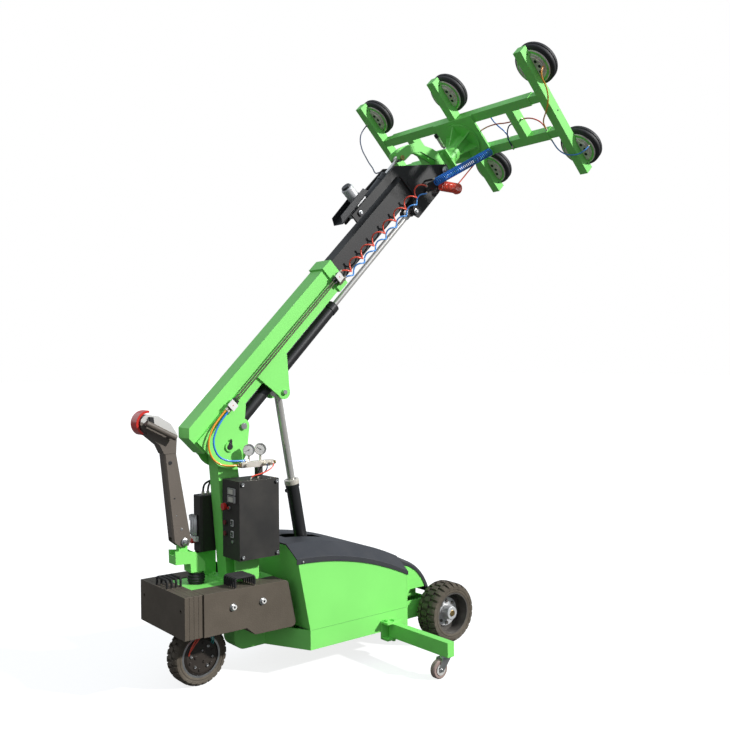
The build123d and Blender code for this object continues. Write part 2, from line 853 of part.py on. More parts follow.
# Side ballast: a stack of shaped slabs on each side of the steering beam
side_rear_x = beam_rear_x + 1.0
side_points = [
    (side_rear_x, ballast_bottom),
    (144.0, ballast_bottom),
    (191.0, 266.0),
    (side_front_low_x - 4.0, 262.0),
    (side_front_top_x - 4.0, ballast_top - 6.0),
    (side_rear_x, ballast_top),
]
with BuildPart() as side_ballast:
    for y_sign in (-1, 1):
        for i in range(side_plates):
            y_from = side_inner_y + i * side_plate_t
            spans = ((0.0, seam, seam), (seam, side_plate_t, 0.0))
            for low, high, inset in spans:
                start_y = max(y_sign * (y_from + low), y_sign * (y_from + high))
                with BuildSketch(side.offset(-start_y)):
                    with BuildLine():
                        Polyline(*side_points, close=True)
                    make_face()
                    fillet([v for v in vertices() if v.X > side_handle_x + 120.0], side_corner_r)
                    if inset:
                        offset(amount=-inset, mode=Mode.REPLACE)
                    with Locations(*[(x, side_bolt_z) for x in side_bolt_x]):
                        Circle(ballast_bolt_r, mode=Mode.SUBTRACT)
                extrude(amount=high - low)
            mid_y = y_sign * (y_from + side_plate_t / 2)
            handle_top = ballast_top + handle_rise + 4.0
            wire_handle(side.offset(-mid_y), side_handle_x, ballast_top - 2.0, handle_top)
save(side_ballast, "side_ballast")

# Through bolts of the side stacks: shank, washer and hexagon head
with BuildPart() as ballast_bolts:
    for y_sign in (-1, 1):
        for x in side_bolt_x:
            at = (x, side_bolt_z)
            face_y = y_sign * side_outer_y
            tip_y = y_sign * side_inner_y
            round_y(side, at, ballast_bolt_r - slide_gap, *sorted((tip_y, face_y)))
            round_y(side, at, 18.0, *sorted((face_y, face_y + y_sign * 3.0)))
            head_start = max(face_y + y_sign * 3.0, face_y + y_sign * 14.0)
            with BuildSketch(side.offset(-head_start)):
                with Locations(at):
                    RegularPolygon(12.0, 6)
            extrude(amount=11.0)
save(ballast_bolts, "ballast_bolts")

# Control box with its lid, displays and switches on the rear wall
display_y = -(box_out_y - 68.0)
with BuildPart() as control_box:
    block((box_rear_x, box_front_x), (-box_out_y + lid_t, -box_in_y), (box_low, box_high))
    block(
        (box_rear_x + sheet, box_front_x - sheet),
        (-box_out_y, -box_in_y - sheet),
        (box_low + sheet, box_high - sheet),
        Mode.SUBTRACT,
    )
    panel_hub = Plane((drive_x + box_rear_x, 0, 0), x_dir=(0, -1, 0), z_dir=(-1, 0, 0))
    estop_at = (box_in_y + 38.0, box_high - 133.0)
    rocker_at = [(-display_y, box_high - 210.0), (-display_y, box_high - 266.0)]
    with BuildSketch(panel_hub.offset(-sheet)):
        with Locations(estop_at):
            Circle(estop_stem_r + run_fit)
        with Locations(*rocker_at):
            Rectangle(rocker_w, rocker_h)
    extrude(amount=sheet, mode=Mode.SUBTRACT)
    block(
        (box_front_x - 70.0, box_front_x - 40.0),
        (-box_in_y - 76.0, -box_in_y - 46.0),
        (box_high, box_high + post_rise),
    )
    block(
        (mast_front_low_x - 40.0, mast_front_low_x - 10.0),
        (-box_in_y, -mast_half_w),
        (box_low + 30.0, box_low + 90.0),
    )
save(control_box, "control_box")

with BuildPart() as control_lid:
    block((box_rear_x, box_front_x), (-box_out_y, -box_out_y + lid_t), (box_low, box_high))
    with BuildSketch(side.offset(box_out_y)):
        with Locations(
            *[(x, z) for x in (box_rear_x + 16, box_front_x - 16) for z in (box_low + 16, box_high - 16)]
        ):
            Circle(6.0)
    extrude(amount=3.0)
save(control_lid, "control_lid")

with BuildPart() as panel_displays:
    for z_drop in (54.0, 92.0):
        block(
            (box_rear_x - 8.0, box_rear_x),
            (display_y - 33.0, display_y + 33.0),
            (box_high - z_drop - 16.0, box_high - z_drop + 16.0),
        )
save(panel_displays, "panel_displays")

with BuildPart() as estop_button:
    with BuildSketch(panel_hub.offset(-22.0)):
        with Locations(estop_at):
            Circle(estop_stem_r)
    extrude(amount=22.0 + 9.0)
    with BuildSketch(panel_hub.offset(9.0)):
        with Locations(estop_at):
            Circle(estop_r)
    extrude(amount=14.0)
save(estop_button, "estop_button")

for node, at in zip(("rocker_upper", "rocker_lower"), rocker_at):
    with BuildPart() as rocker:
        rocker_side = Plane((drive_x + box_rear_x, -at[0], at[1]), x_dir=(1, 0, 0), z_dir=(0, -1, 0))
        outline = [(-7.0, -9.5), (-4.0, 0), (-7.0, 9.5), (5.5, 8.0), (5.5, -8.0)]
        slab(rocker_side, outline, -rocker_half, rocker_half)
        pin_reach = rocker_w / 2 - slide_gap
        round_y(rocker_side, (0, 0), rocker_pin_r, -pin_reach, pin_reach)
    save(rocker, node)

# Vacuum manifold on a post above the control box, with two dial gauges
manifold_y = -(box_in_y + 61.0)
manifold_x = (188.0, 376.0)
manifold_z = (box_high + post_rise, box_high + post_rise + 30.0)
gauge_x = (238.0, 306.0)
with BuildPart() as vacuum_manifold:
    block(manifold_x, (manifold_y - 15.0, manifold_y + 15.0), manifold_z)
    for x in gauge_x:
        post((x, manifold_y), 6.0, manifold_z[1], manifold_z[1] + 36.0)
        centre_z = manifold_z[1] + 30.0 + gauge_r
        dial = Plane((drive_x + x, manifold_y, centre_z), x_dir=(1, 0, 0), z_dir=(-0.5, -0.8660254, 0))
        with BuildSketch(dial.offset(-14.0)):
            Circle(gauge_r)
        extrude(amount=28.0)
    for x in (manifold_x[0] + 22.0, manifold_x[1] - 60.0, manifold_x[1] - 22.0):
        round_y(side, (x, sum(manifold_z) / 2), 8.0, manifold_y - 34.0, manifold_y - 15.0)
save(vacuum_manifold, "vacuum_manifold")

# Hydraulic unit on the left of the mast: tank and a valve block for the hand levers on its outer side
valve_x = (hyd_rear_x, hyd_rear_x + 88.0)
valve_y = (hyd_out_y, hyd_out_y + 27.0)
valve_z = (hyd_low + 46.0, hyd_low + 96.0)
lever_x = [sum(valve_x) / 2 + (i - 1) * lever_pitch for i in range(3)]
lever_axis = (valve_y[1] + 14.0, valve_z[1] - 14.0)
lever_half = 6.0
lever_pin_r = 4.0
lever_lean = radians(15.0)


def round_x(at, radius, x_from, x_to, mode=Mode.ADD):
    """A cylinder along X at a place (y, z), between two X values from the drive axle."""
    with BuildSketch(Plane((drive_x + x_from, 0, 0), x_dir=(0, 1, 0), z_dir=(1, 0, 0))) as outline:
        with Locations(at):
            Circle(radius)
    extrude(outline.sketch, amount=x_to - x_from, mode=mode)


with BuildPart() as hydraulic_unit:
    block((hyd_rear_x, hyd_front_x), (hyd_in_y, hyd_out_y), (hyd_low, hyd_high))
    chamfer(hydraulic_unit.edges().filter_by(Axis.Z), 10.0)
    block(valve_x, valve_y, valve_z)
    foot_x = (hyd_rear_x + 4.0, hyd_front_x - 4.0)
    block(foot_x, (beam_half_w - plate, hyd_out_y - 10.0), (hyd_low - hyd_foot, hyd_low))
    for x in lever_x:
        for x_sign in (-1, 1):
            ear_x = sorted((x + x_sign * (lever_half + side_gap), x + x_sign * 10.0))
            ear_y = (valve_y[1], lever_axis[0] + 9.0)
            block(ear_x, ear_y, (lever_axis[1] - 9.0, lever_axis[1] + 9.0))
        round_x(lever_axis, lever_pin_r, x - 10.0, x + 10.0)
        post((x, sum(valve_y) / 2), 8.0, valve_z[1], valve_z[1] + 16.0)
    block(
        (hyd_front_x - 36.0, hyd_front_x - 6.0),
        (mast_half_w, hyd_in_y),
        (hyd_low + 40.0, hyd_low + 90.0),
    )
save(hydraulic_unit, "hydraulic_unit")

for i, x in enumerate(lever_x):
    with BuildPart() as valve_lever:
        round_x(lever_axis, 8.5, x - lever_half, x + lever_half)
        stalk = Plane(
            (drive_x + x, lever_axis[0], lever_axis[1]),
            x_dir=(1, 0, 0),
            z_dir=(0, sin(lever_lean), cos(lever_lean)),
        )
        with BuildSketch(stalk.offset(2.0)):
            Circle(3.5)
        extrude(amount=70.0)
        with BuildSketch(stalk.offset(62.0)):
            Circle(8.0)
        extrude(amount=30.0)
        round_x(lever_axis, lever_pin_r + run_fit, x - lever_half, x + lever_half, Mode.SUBTRACT)
    save(valve_lever, f"valve_lever_{i + 1}")

# Battery and vacuum pump inside the body
with BuildPart() as battery:
    battery_x = (lift_base[0] + lift_ear_spread + 30.0, tray_front_x - 25.0)
    battery_half = body_half_w - 109.0
    battery_z = (tray_bottom + plate, tray_bottom + plate + 225.0)
    block(battery_x, (-battery_half, battery_half), battery_z)
    for y in (80.0 - battery_half, battery_half - 80.0):
        post((battery_x[0] + 50.0, y), 10.0, battery_z[1], battery_z[1] + 18.0)
save(battery, "battery")

pump_at = (605.0, tray_bottom + plate + 82.0)
with BuildPart() as vacuum_pump:
    pump_foot = (pump_at[0] - 60.0, pump_at[0] + 60.0)
    pump_y = 69.0 - body_half_w
    block(pump_foot, (pump_y, pump_y + 150.0), (tray_bottom + plate, tray_bottom + plate + 30.0))
    round_y(side, pump_at, 58.0, pump_y, pump_y + 140.0)
    round_y(side, pump_at, 34.0, pump_y - 32.0, pump_y)
save(vacuum_pump, "vacuum_pump")

# Rubber boot round the steering column
boot_top = deck_z + 56.0
with BuildPart() as steering_boot:
    ribs = 4
    rib_h = (boot_top - deck_z) / ribs
    for i in range(ribs):
        post((0, 0), column_r + 15.0, deck_z + i * rib_h, deck_z + (i + 0.55) * rib_h)
        post((0, 0), column_r + 10.0, deck_z + (i + 0.55) * rib_h, deck_z + (i + 1) * rib_h)
    post((0, 0), column_r + slide_gap, deck_z, boot_top, Mode.SUBTRACT)
save(steering_boot, "steering_boot")

# Steering column: one-sided fork, crown, shaft and the green bracket that carries the tiller
fork_y = (drive_tyre_w / 2 + 9.0, drive_tyre_w / 2 + 27.0)
crown_z = (drive_wheel_r * 2 + 7.0, drive_wheel_r * 2 + 25.0)
bracket_low = boot_top + 8.0
with BuildPart() as steering_column:
    post((0, 0), 80.0, *crown_z)
    block((-45.0, 45.0), fork_y, (drive_wheel_r, crown_z[1]))
    round_y(side, (0, drive_wheel_r), 45.0, *fork_y)
    round_y(side, (0, drive_wheel_r), drive_stub_r, *fork_y, Mode.SUBTRACT)
    post((0, 0), column_r, crown_z[1], bracket_low + 20.0)
    bracket_outline = [
        (tiller_pivot[0] - 54.0, tiller_pivot[1] - 40.0),
        (tiller_pivot[0] + 56.0, tiller_pivot[1] - 56.0),
        (column_r + 2.0, bracket_low + 45.0),
        (column_r + 2.0, bracket_low),
        (-column_r - 16.0, bracket_low),
        (-column_r - 19.0, bracket_low + 46.0),
        (tiller_pivot[0] - 52.0, bracket_low + 50.0),
    ]
    slab(side, bracket_outline, -36.0, 36.0)
    groove_z = tiller_pivot[1] - tiller_heel - 4.0
    groove = [
        (tiller_pivot[0] - tiller_heel, groove_z),
        (tiller_pivot[0] + tiller_heel, groove_z - 6.0),
        (tiller_pivot[0] + tiller_heel, tiller_pivot[1]),
        (tiller_pivot[0] - tiller_heel, tiller_pivot[1]),
    ]
    slab(side, groove, -tiller_half_w - side_gap, tiller_half_w + side_gap, Mode.SUBTRACT)
    tongue = [
        (tiller_pivot[0] - tongue_r, groove_z - 12.0),
        (tiller_pivot[0] + tongue_r, groove_z - 12.0),
        (tiller_pivot[0] + tongue_r, tiller_pivot[1]),
        (tiller_pivot[0] - tongue_r, tiller_pivot[1]),
    ]
    slab(side, tongue, -tongue_half_w, tongue_half_w)
    round_y(side, tiller_pivot, tongue_r, -tongue_half_w, tongue_half_w)
    tiller_pin_half = tiller_half_w + 4.0
    round_y(side, tiller_pivot, tiller_pin_r, -tiller_pin_half, tiller_pin_half)
save(steering_column, "steering_column")

# Drive wheel: stationary hub motor with its end cap, turning rim and tyre
half_drive = drive_tyre_w / 2
with BuildPart() as drive_motor:
    revolve_y(
        (0, drive_wheel_r),
        [
            (-half_drive + 2.0, 0),
            (-half_drive + 2.0, drive_motor_r - 12.0),
            (-half_drive + 8.0, drive_motor_r),
            (half_drive - 26.0, drive_motor_r),
            (half_drive - 26.0, drive_stub_r),
            (fork_y[1], drive_stub_r),
            (fork_y[1], 0),
        ],
    )
    cap = side.offset(half_drive - 2.0)
    with BuildSketch(cap):
        with Locations((0, drive_wheel_r)):
            with PolarLocations(drive_motor_r - 26.0, 6, start_angle=20):
                Circle(6.5)
            with PolarLocations(30.0, 3, start_angle=60):
                Circle(8.0)
    extrude(amount=5.0)
save(drive_motor, "drive_motor")

with BuildPart() as drive_rim:
    revolve_y(
        (0, drive_wheel_r),
        [
            (-half_drive + 4.0, drive_motor_r + 3.0),
            (-half_drive + 4.0, drive_rim_r),
            (half_drive - 4.0, drive_rim_r),
            (half_drive - 4.0, drive_stub_r + run_fit),
            (half_drive - 22.0, drive_stub_r + run_fit),
            (half_drive - 22.0, drive_motor_r + 3.0),
        ],
    )
save(drive_rim, "drive_rim")


def tyre(at, mid_y, radius, width, bore):
    """A solid tyre with rounded shoulders."""
    half = width / 2
    drop = radius * 0.05
    revolve_y(
        at,
        [
            (mid_y - half + 4.0, bore),
            (mid_y - half, bore + 10.0),
            (mid_y - half, radius - 3 * drop),
            (mid_y - half + drop, radius - drop),
            (mid_y - half + 2.5 * drop, radius),
            (mid_y + half - 2.5 * drop, radius),
            (mid_y + half - drop, radius - drop),
            (mid_y + half, radius - 3 * drop),
            (mid_y + half, bore + 10.0),
            (mid_y + half - 4.0, bore),
        ],
    )


with BuildPart() as drive_tyre:
    tyre((0, drive_wheel_r), 0.0, drive_wheel_r, drive_tyre_w, drive_rim_r)
save(drive_tyre, "drive_tyre")

# Front wheels: deep dish rim with a bolted hub, and the tyre
front_at = (wheelbase, front_wheel_r)
rim_in = front_track_half - front_tyre_w / 2 + 4.0
rim_out = hub_out - 4.0
web_y = front_track_half - 8.0
hub_nose = hub_out - 14.0
hub_bolts = 8
for side_name, y_sign in (("right", -1), ("left", 1)):
    with BuildPart() as front_rim:
        bore = axle_r + run_fit
        barrel = front_rim_r - 7.0
        revolve_y(
            front_at,
            mirrored(
                [
                    (rim_in, barrel),
                    (rim_in, front_rim_r),
                    (rim_out, front_rim_r),
                    (rim_out, barrel),
                    (web_y + 5.0, barrel),
                    (web_y + 5.0, 82.0),
                    (web_y + 17.0, 80.0),
                    (web_y + 17.0, 40.0),
                    (hub_nose, 36.0),
                    (hub_nose, bore),
                    (web_y - 40.0, bore),
                    (web_y - 40.0, 40.0),
                    (web_y - 5.0, 46.0),
                    (web_y - 5.0, barrel),
                ],
                y_sign,
            ),
        )
        bolt_y = y_sign * (web_y + 17.0)
        with BuildSketch(side.offset(-max(bolt_y, bolt_y + y_sign * 9.0))):
            with Locations(front_at):
                with PolarLocations(62.0, hub_bolts):
                    RegularPolygon(9.0, 6)
        extrude(amount=9.0)
    save(front_rim, f"front_rim_{side_name}")
    with BuildPart() as front_tyre:
        tyre(front_at, y_sign * front_track_half, front_wheel_r, front_tyre_w, front_rim_r)
    save(front_tyre, f"front_tyre_{side_name}")

# Tiller: tapered arm with the head's dark underside and side bars, pale shell, bumper and thumb lever
arm_low_z = tiller_pivot[1] + 8.0
thumb_axis = (tiller_grip[0] + 14.0, tiller_grip[1] + 2.0)
thumb_r = 7.0
button_r = 9.0
button_hole = 18.0
button_foot = 30.0
bar_from = Vector(tiller_grip[0] - 28.0, tiller_grip[1] + 5.0)
bar_to = Vector(tiller_grip[0] + 124.0, tiller_grip[1] - 74.0)
bar_way = (bar_to - bar_from).normalized()
head_outline_points = [
    (tiller_grip[0] + 10.0, tiller_grip[1] + 40.0),
    (tiller_grip[0] + 52.0, tiller_grip[1] + 32.0),
    (tiller_grip[0] + 117.0, tiller_grip[1] - 8.0),
    (tiller_grip[0] + 150.0, tiller_grip[1] - 60.0),
    (tiller_bend[0] + 34.0, tiller_bend[1] + 40.0),
    (tiller_bend[0] + 32.0, tiller_bend[1]),
    (tiller_bend[0] - 32.0, tiller_bend[1]),
    (tiller_bend[0] - 54.0, tiller_bend[1] + 44.0),
    (tiller_grip[0] - 8.0, tiller_grip[1] - 54.0),
    (tiller_grip[0] - 8.0, tiller_grip[1] - 38.0),
]
parting = Plane(
    axle_point(bar_from.X, 0, bar_from.Y),
    x_dir=(bar_way.X, 0, bar_way.Y),
    z_dir=(-bar_way.Y, 0, bar_way.X),
)
button_hub = Plane(axle_point(tiller_grip[0], 0, tiller_grip[1]), x_dir=(0, 1, 0), z_dir=(-1, 0, 0))


def head_half(keep):
    """One side of the tiller head's parting plane, bored for the bumper's stem and the thumb axle."""
    with BuildPart() as half:
        slab(side, head_outline_points, -tiller_head_half, tiller_head_half)
        round_y(side, tiller_grip, head_end_r, -tiller_head_half, tiller_head_half)
        with BuildSketch(button_hub.offset(button_hole)):
            Circle(button_r + run_fit)
        extrude(amount=head_end_r, mode=Mode.SUBTRACT)
        round_y(side, thumb_axis, thumb_r + run_fit, -tiller_head_half, tiller_head_half, Mode.SUBTRACT)
        split(bisect_by=parting, keep=keep)
    return half.part


underside = head_half(Keep.BOTTOM)
with BuildPart() as tiller_arm:
    slab(
        side,
        [
            (tiller_pivot[0] - tiller_heel, arm_low_z),
            (tiller_pivot[0] - 22.0, tiller_pivot[1] - 22.0),
            (tiller_pivot[0] + 22.0, tiller_pivot[1] - 22.0),
            (tiller_pivot[0] + 35.0, arm_low_z),
            (tiller_bend[0] + 32.0, tiller_bend[1]),
            (tiller_bend[0] - 32.0, tiller_bend[1]),
        ],
        -tiller_half_w,
        tiller_half_w,
    )
    chamfer(tiller_arm.faces().sort_by(Axis.X)[0].edges().filter_by(Axis.Z, tolerance=15), 8.0)
    slot_half = tongue_half_w + side_gap
    slot_top = tiller_pivot[1] + tongue_r + 3.0
    slot = [
        (tiller_pivot[0] - 2 * tiller_heel, tiller_pivot[1] - tiller_heel),
        (tiller_pivot[0] + 2 * tiller_heel, tiller_pivot[1] - tiller_heel),
        (tiller_pivot[0] + 2 * tiller_heel, slot_top),
        (tiller_pivot[0] - 2 * tiller_heel, slot_top),
    ]
    slab(side, slot, -slot_half, slot_half, Mode.SUBTRACT)
    round_y(side, tiller_pivot, tiller_pin_r + run_fit, -tiller_half_w, tiller_half_w, Mode.SUBTRACT)
    add(underside)
    for y_sign in (-1, 1):
        with BuildSketch(Plane(axle_point(bar_from.X, y_sign * bar_reach, bar_from.Y), z_dir=parting.x_dir)):
            Circle(bar_r)
        extrude(amount=(bar_to - bar_from).length)
        for share in (0.1, 0.9):
            stub_at = bar_from + (bar_to - bar_from) * share
            stub_y = sorted((y_sign * tiller_head_half, y_sign * bar_reach))
            round_y(side, (stub_at.X, stub_at.Y), bar_stub_r, *stub_y)
save(tiller_arm, "tiller_arm")

with BuildPart() as tiller_head:
    add(head_half(Keep.TOP))
save(tiller_head, "tiller_head")

with BuildPart() as tiller_button:
    with BuildSketch(side.offset(-tiller_head_half)):
        with Locations(tiller_grip):
            Circle(bumper_r)
            Circle(bumper_in_r, mode=Mode.SUBTRACT)
        far = 2 * bumper_r
        with BuildLine():
            reach = [
                (tiller_grip[0] + far * cos(radians(turn)), tiller_grip[1] + far * sin(radians(turn)))
                for turn in (85.0, 137.0, 188.0, 240.0)
            ]
            Polyline(tiller_grip, *reach, close=True)
        make_face(mode=Mode.INTERSECT)
    extrude(amount=2 * tiller_head_half)
    with BuildSketch(button_hub.offset(button_foot)):
        Circle(button_r)
    extrude(amount=bumper_in_r + 2.0 - button_foot)
save(tiller_button, "tiller_button")

with BuildPart() as thumb_lever:
    wing_y = tiller_head_half + side_gap
    round_y(side, thumb_axis, thumb_r, -wing_y - 14.0, wing_y + 14.0)
    for y_sign in (-1, 1):
        wing = sorted((y_sign * wing_y, y_sign * (wing_y + 14.0)))
        slab(
            side,
            [
                (thumb_axis[0] - 8.0, thumb_axis[1] - 10.0),
                (thumb_axis[0] + 10.0, thumb_axis[1] - 8.0),
                (thumb_axis[0] + 6.0, thumb_axis[1] + 28.0),
                (thumb_axis[0] - 14.0, thumb_axis[1] + 30.0),
            ],
            *wing,
        )
save(thumb_lever, "thumb_lever")

# Outriggers: square-ended tubes that swing on an upright pin, each with a swivel caster
caster_plate_z = outrigger_low - 12.0
stem_r = 9.0
for side_name, y_sign in (("right", -1), ("left", 1)):
    tip = y_sign * outrigger_tip_y
    root = y_sign * (outrigger_pivot_y - outrigger_pin_r - 3.0)
    wall = 5.0
    half_tube = outrigger_w / 2
    with BuildPart() as outrigger:
        block(
            (outrigger_x - half_tube, outrigger_x + half_tube),
            sorted((root, tip)),
            (outrigger_low, outrigger_high),
        )
        block(
            (outrigger_x - half_tube + wall, outrigger_x + half_tube - wall),
            sorted((root + y_sign * 45.0, tip - y_sign * 60.0)),
            (outrigger_low + wall, outrigger_high - wall),
            Mode.SUBTRACT,
        )
        post(
            (outrigger_x, y_sign * outrigger_pivot_y),
            outrigger_pin_r + run_fit,
            outrigger_low,
            outrigger_high,
            Mode.SUBTRACT,
        )
        stem_at = (outrigger_x, y_sign * caster_y)
        post(stem_at, stem_r + run_fit, outrigger_low, outrigger_low + 30.0, Mode.SUBTRACT)
    save(outrigger, f"outrigger_{side_name}")
    axle_at = (outrigger_x - caster_trail, caster_r)
    with BuildPart() as caster_fork:
        post(stem_at, stem_r, caster_plate_z, outrigger_low + 29.0)
        post(stem_at, 24.0, caster_plate_z + 5.0, outrigger_low - side_gap)
        mid_y = y_sign * caster_y
        cheek_y = caster_w / 2 + 3.0
        block(
            (outrigger_x - 34.0, outrigger_x + 26.0),
            (mid_y - cheek_y - 4.0, mid_y + cheek_y + 4.0),
            (caster_plate_z - 1.0, caster_plate_z + 5.0),
        )
        for cheek_sign in (-1, 1):
            cheek = sorted((mid_y + cheek_sign * cheek_y, mid_y + cheek_sign * (cheek_y + 4.0)))
            slab(
                side,
                [
                    (outrigger_x - 34.0, caster_plate_z + 5.0),
                    (outrigger_x + 26.0, caster_plate_z + 5.0),
                    (outrigger_x + 10.0, caster_plate_z - 16.0),
                    (axle_at[0] + 12.0, axle_at[1] - 12.0),
                    (axle_at[0] - 12.0, axle_at[1] - 12.0),
                    (axle_at[0] - 14.0, axle_at[1] + 14.0),
                ],
                *cheek,
            )
        round_y(side, axle_at, 6.0, mid_y - cheek_y - 9.0, mid_y + cheek_y + 9.0)
    save(caster_fork, f"caster_fork_{side_name}")
    with BuildPart() as caster_wheel:
        half_c = caster_w / 2
        revolve_y(
            axle_at,
            [
                (mid_y - half_c - 2.0, 6.0 + run_fit),
                (mid_y - half_c - 2.0, 14.0),
                (mid_y - half_c + 3.0, 18.0),
                (mid_y - half_c, 36.0),
                (mid_y - half_c, caster_r - 5.0),
                (mid_y - half_c + 5.0, caster_r),
                (mid_y + half_c - 5.0, caster_r),
                (mid_y + half_c, caster_r - 5.0),
                (mid_y + half_c, 36.0),
                (mid_y + half_c - 3.0, 18.0),
                (mid_y + half_c + 2.0, 14.0),
                (mid_y + half_c + 2.0, 6.0 + run_fit),
            ],
        )
    save(caster_wheel, f"caster_wheel_{side_name}")

# Boom: outer tube with collar, cheek plates on the mast pin and lugs for the lift cylinder
boom_mid = (boom_low + boom_high) / 2
half_boom = boom_w / 2
cheek_end = tele_base[0] + 97.0
cheek_outline = [
    (-cheek_r + 6.0, 15.0),
    (-cheek_r + 6.0, boom_mid),
    (cheek_end, boom_mid),
    (cheek_end - 8.0, boom_low),
    (tele_base[0] + 34.0, tele_base[1] + 18.0),
    (tele_base[0] + 24.0, tele_base[1] - 30.0),
    (60.0, -cheek_r * 0.8),
]
lug_outline = [
    (lug_pin[0] - 58.0, boom_mid - 28.0),
    (lug_pin[0] + 166.0, boom_mid - 28.0),
    (lug_pin[0] + 150.0, boom_low - 4.0),
    (lug_pin[0] + 30.0, lug_pin[1] - 20.0),
    (lug_pin[0] - 28.0, lug_pin[1] - 22.0),
    (lug_pin[0] - 36.0, lug_pin[1] + 10.0),
]
pad_half = inner_w / 2 + slide_gap
with BuildPart() as boom:
    across((boom_tail, boom_end), (-half_boom, half_boom), (boom_low, boom_high))
    slab(
        boom_side,
        [
            (boom_tail, boom_high - boom_tail_cut),
            (boom_tail + boom_tail_cut, boom_high),
            (boom_tail, boom_high),
        ],
        -half_boom,
        half_boom,
        Mode.SUBTRACT,
    )
    across(
        (boom_tail + boom_tail_cut + boom_wall, boom_end),
        (boom_wall - half_boom, half_boom - boom_wall),
        (boom_low + boom_wall, boom_high - boom_wall),
        Mode.SUBTRACT,
    )
    across(
        (collar_start, boom_end),
        (-half_boom - collar_grow, half_boom + collar_grow),
        (boom_low - collar_grow, boom_high + collar_grow),
    )
    across(
        (collar_start - 1.0, boom_end),
        (-pad_half, pad_half),
        (inner_low - slide_gap, inner_high + slide_gap),
        Mode.SUBTRACT,
    )
    for y_sign in (-1, 1):
        cheek = sorted((y_sign * half_boom, y_sign * (half_boom + cheek_t)))
        slab(boom_side, cheek_outline, *cheek)
        round_y(boom_side, (0, 0), cheek_r, *cheek)
        round_y(boom_side, tele_base, 38.0, *cheek)
        lug = sorted((y_sign * half_boom, y_sign * (half_boom + lug_t)))
        slab(boom_side, lug_outline, *lug)
        round_y(boom_side, lug_pin, 38.0, *lug)
    boom_pin_half = half_boom + cheek_t + 8.0
    round_y(boom_side, (0, 0), boom_pin_r, -boom_pin_half, boom_pin_half)
    round_y(boom_side, tele_base, tele_pin_r, -boom_pin_half, boom_pin_half)
    round_y(boom_side, lug_pin, lug_pin_r, -boom_pin_half, boom_pin_half)
save(boom, "boom")

# Air blocks on the boom's side with two steel pipes between them
block_low = (154.0, boom_mid - 10.0)
block_high = (1116.0, boom_mid - 10.0)
pipe_y = -(half_boom + cheek_t + 11.0)
spiral_from = block_high[0] + 24.0 + 10.0
spiral_y = pipe_y - 6.0
spirals = [
    Curl(
        boom_point(spiral_from, spiral_y, boom_mid - 21.0),
        boom_point(inner_end + 66.0, spiral_y, inner_low + 12.0),
        spiral_coil_r[0],
        spiral_turns,
        spiral_r,
    ),
    Curl(
        boom_point(spiral_from, spiral_y, boom_mid - 55.0),
        boom_point(inner_end + 36.0, spiral_y, inner_low - 28.0),
        spiral_coil_r[1],
        spiral_turns,
        spiral_r,
    ),
]
red_coil = Curl(
    boom_point(tilt_pivot[0] - 118.0, -92.0, tilt_pivot[1] - 30.0),
    boom_point(tilt_pivot[0] - 14.0, -92.0, tilt_pivot[1] - 136.0),
    red_coil_r,
    red_turns,
    pu_r,
)
blue_coil = Curl(
    boom_point(tilt_pivot[0] - 176.0, -132.0, tilt_pivot[1] + 34.0),
    boom_point(frame_back - 30.0, -166.0, hub_n - 112.0),
    blue_coil_r,
    blue_turns,
    pu_r,
)
with BuildPart() as boom_pipes:
    across(
        (block_low[0] - 24.0, block_low[0] + 24.0),
        (pipe_y - 11.0, -half_boom - cheek_t),
        (block_low[1] - 14.0, block_low[1] + 14.0),
    )
    across(
        (block_high[0] - 24.0, block_high[0] + 24.0),
        (pipe_y - 11.0, -half_boom - collar_grow),
        (block_high[1] - 40.0, block_high[1] + 14.0),
    )
    for n_shift in (-7.0, 7.0):
        disc_s((pipe_y, block_low[1] + n_shift), 4.0, block_low[0] + 20.0, block_high[0] - 20.0)
    for spiral in spirals:
        fitting(spiral.tail(0, -1), -spiral.heading(0), 8.0)
save(boom_pipes, "boom_pipes")

# Telescope cylinder under the boom: barrel on the boom, rod on the inner boom
tele_n = tele_base[1]
rod_tail = tele_gland - 70.0
with BuildPart() as tele_barrel:
    round_y(boom_side, tele_base, 30.0, -30.0, 30.0)
    disc_s((0, tele_n), tele_barrel_r, tele_base[0] + 20.0, tele_gland)
    disc_s((0, tele_n), tele_barrel_r + 3.0, tele_gland - 26.0, tele_gland + 17.0)
    disc_s((0, tele_n), tele_rod_r + 4.0, tele_base[0] + 130.0, tele_gland - 26.0, Mode.SUBTRACT)
    disc_s((0, tele_n), tele_rod_r + run_fit, tele_gland - 26.0, tele_gland + 17.0, Mode.SUBTRACT)
    round_y(boom_side, tele_base, tele_pin_r + run_fit, -30.0, 30.0, Mode.SUBTRACT)
save(tele_barrel, "tele_barrel")

with BuildPart() as tele_rod:
    disc_s((0, tele_n), tele_rod_r, rod_tail, tele_tip - 14.0)
    disc_s((0, tele_n), tele_rod_r + 4.0 - slide_gap, rod_tail, rod_tail + 30.0)
    round_y(boom_side, (tele_tip, tele_n), 25.0, -20.0, 20.0)
    round_y(boom_side, (tele_tip, tele_n), tele_pin_r + run_fit, -20.0, 20.0, Mode.SUBTRACT)
save(tele_rod, "tele_rod")

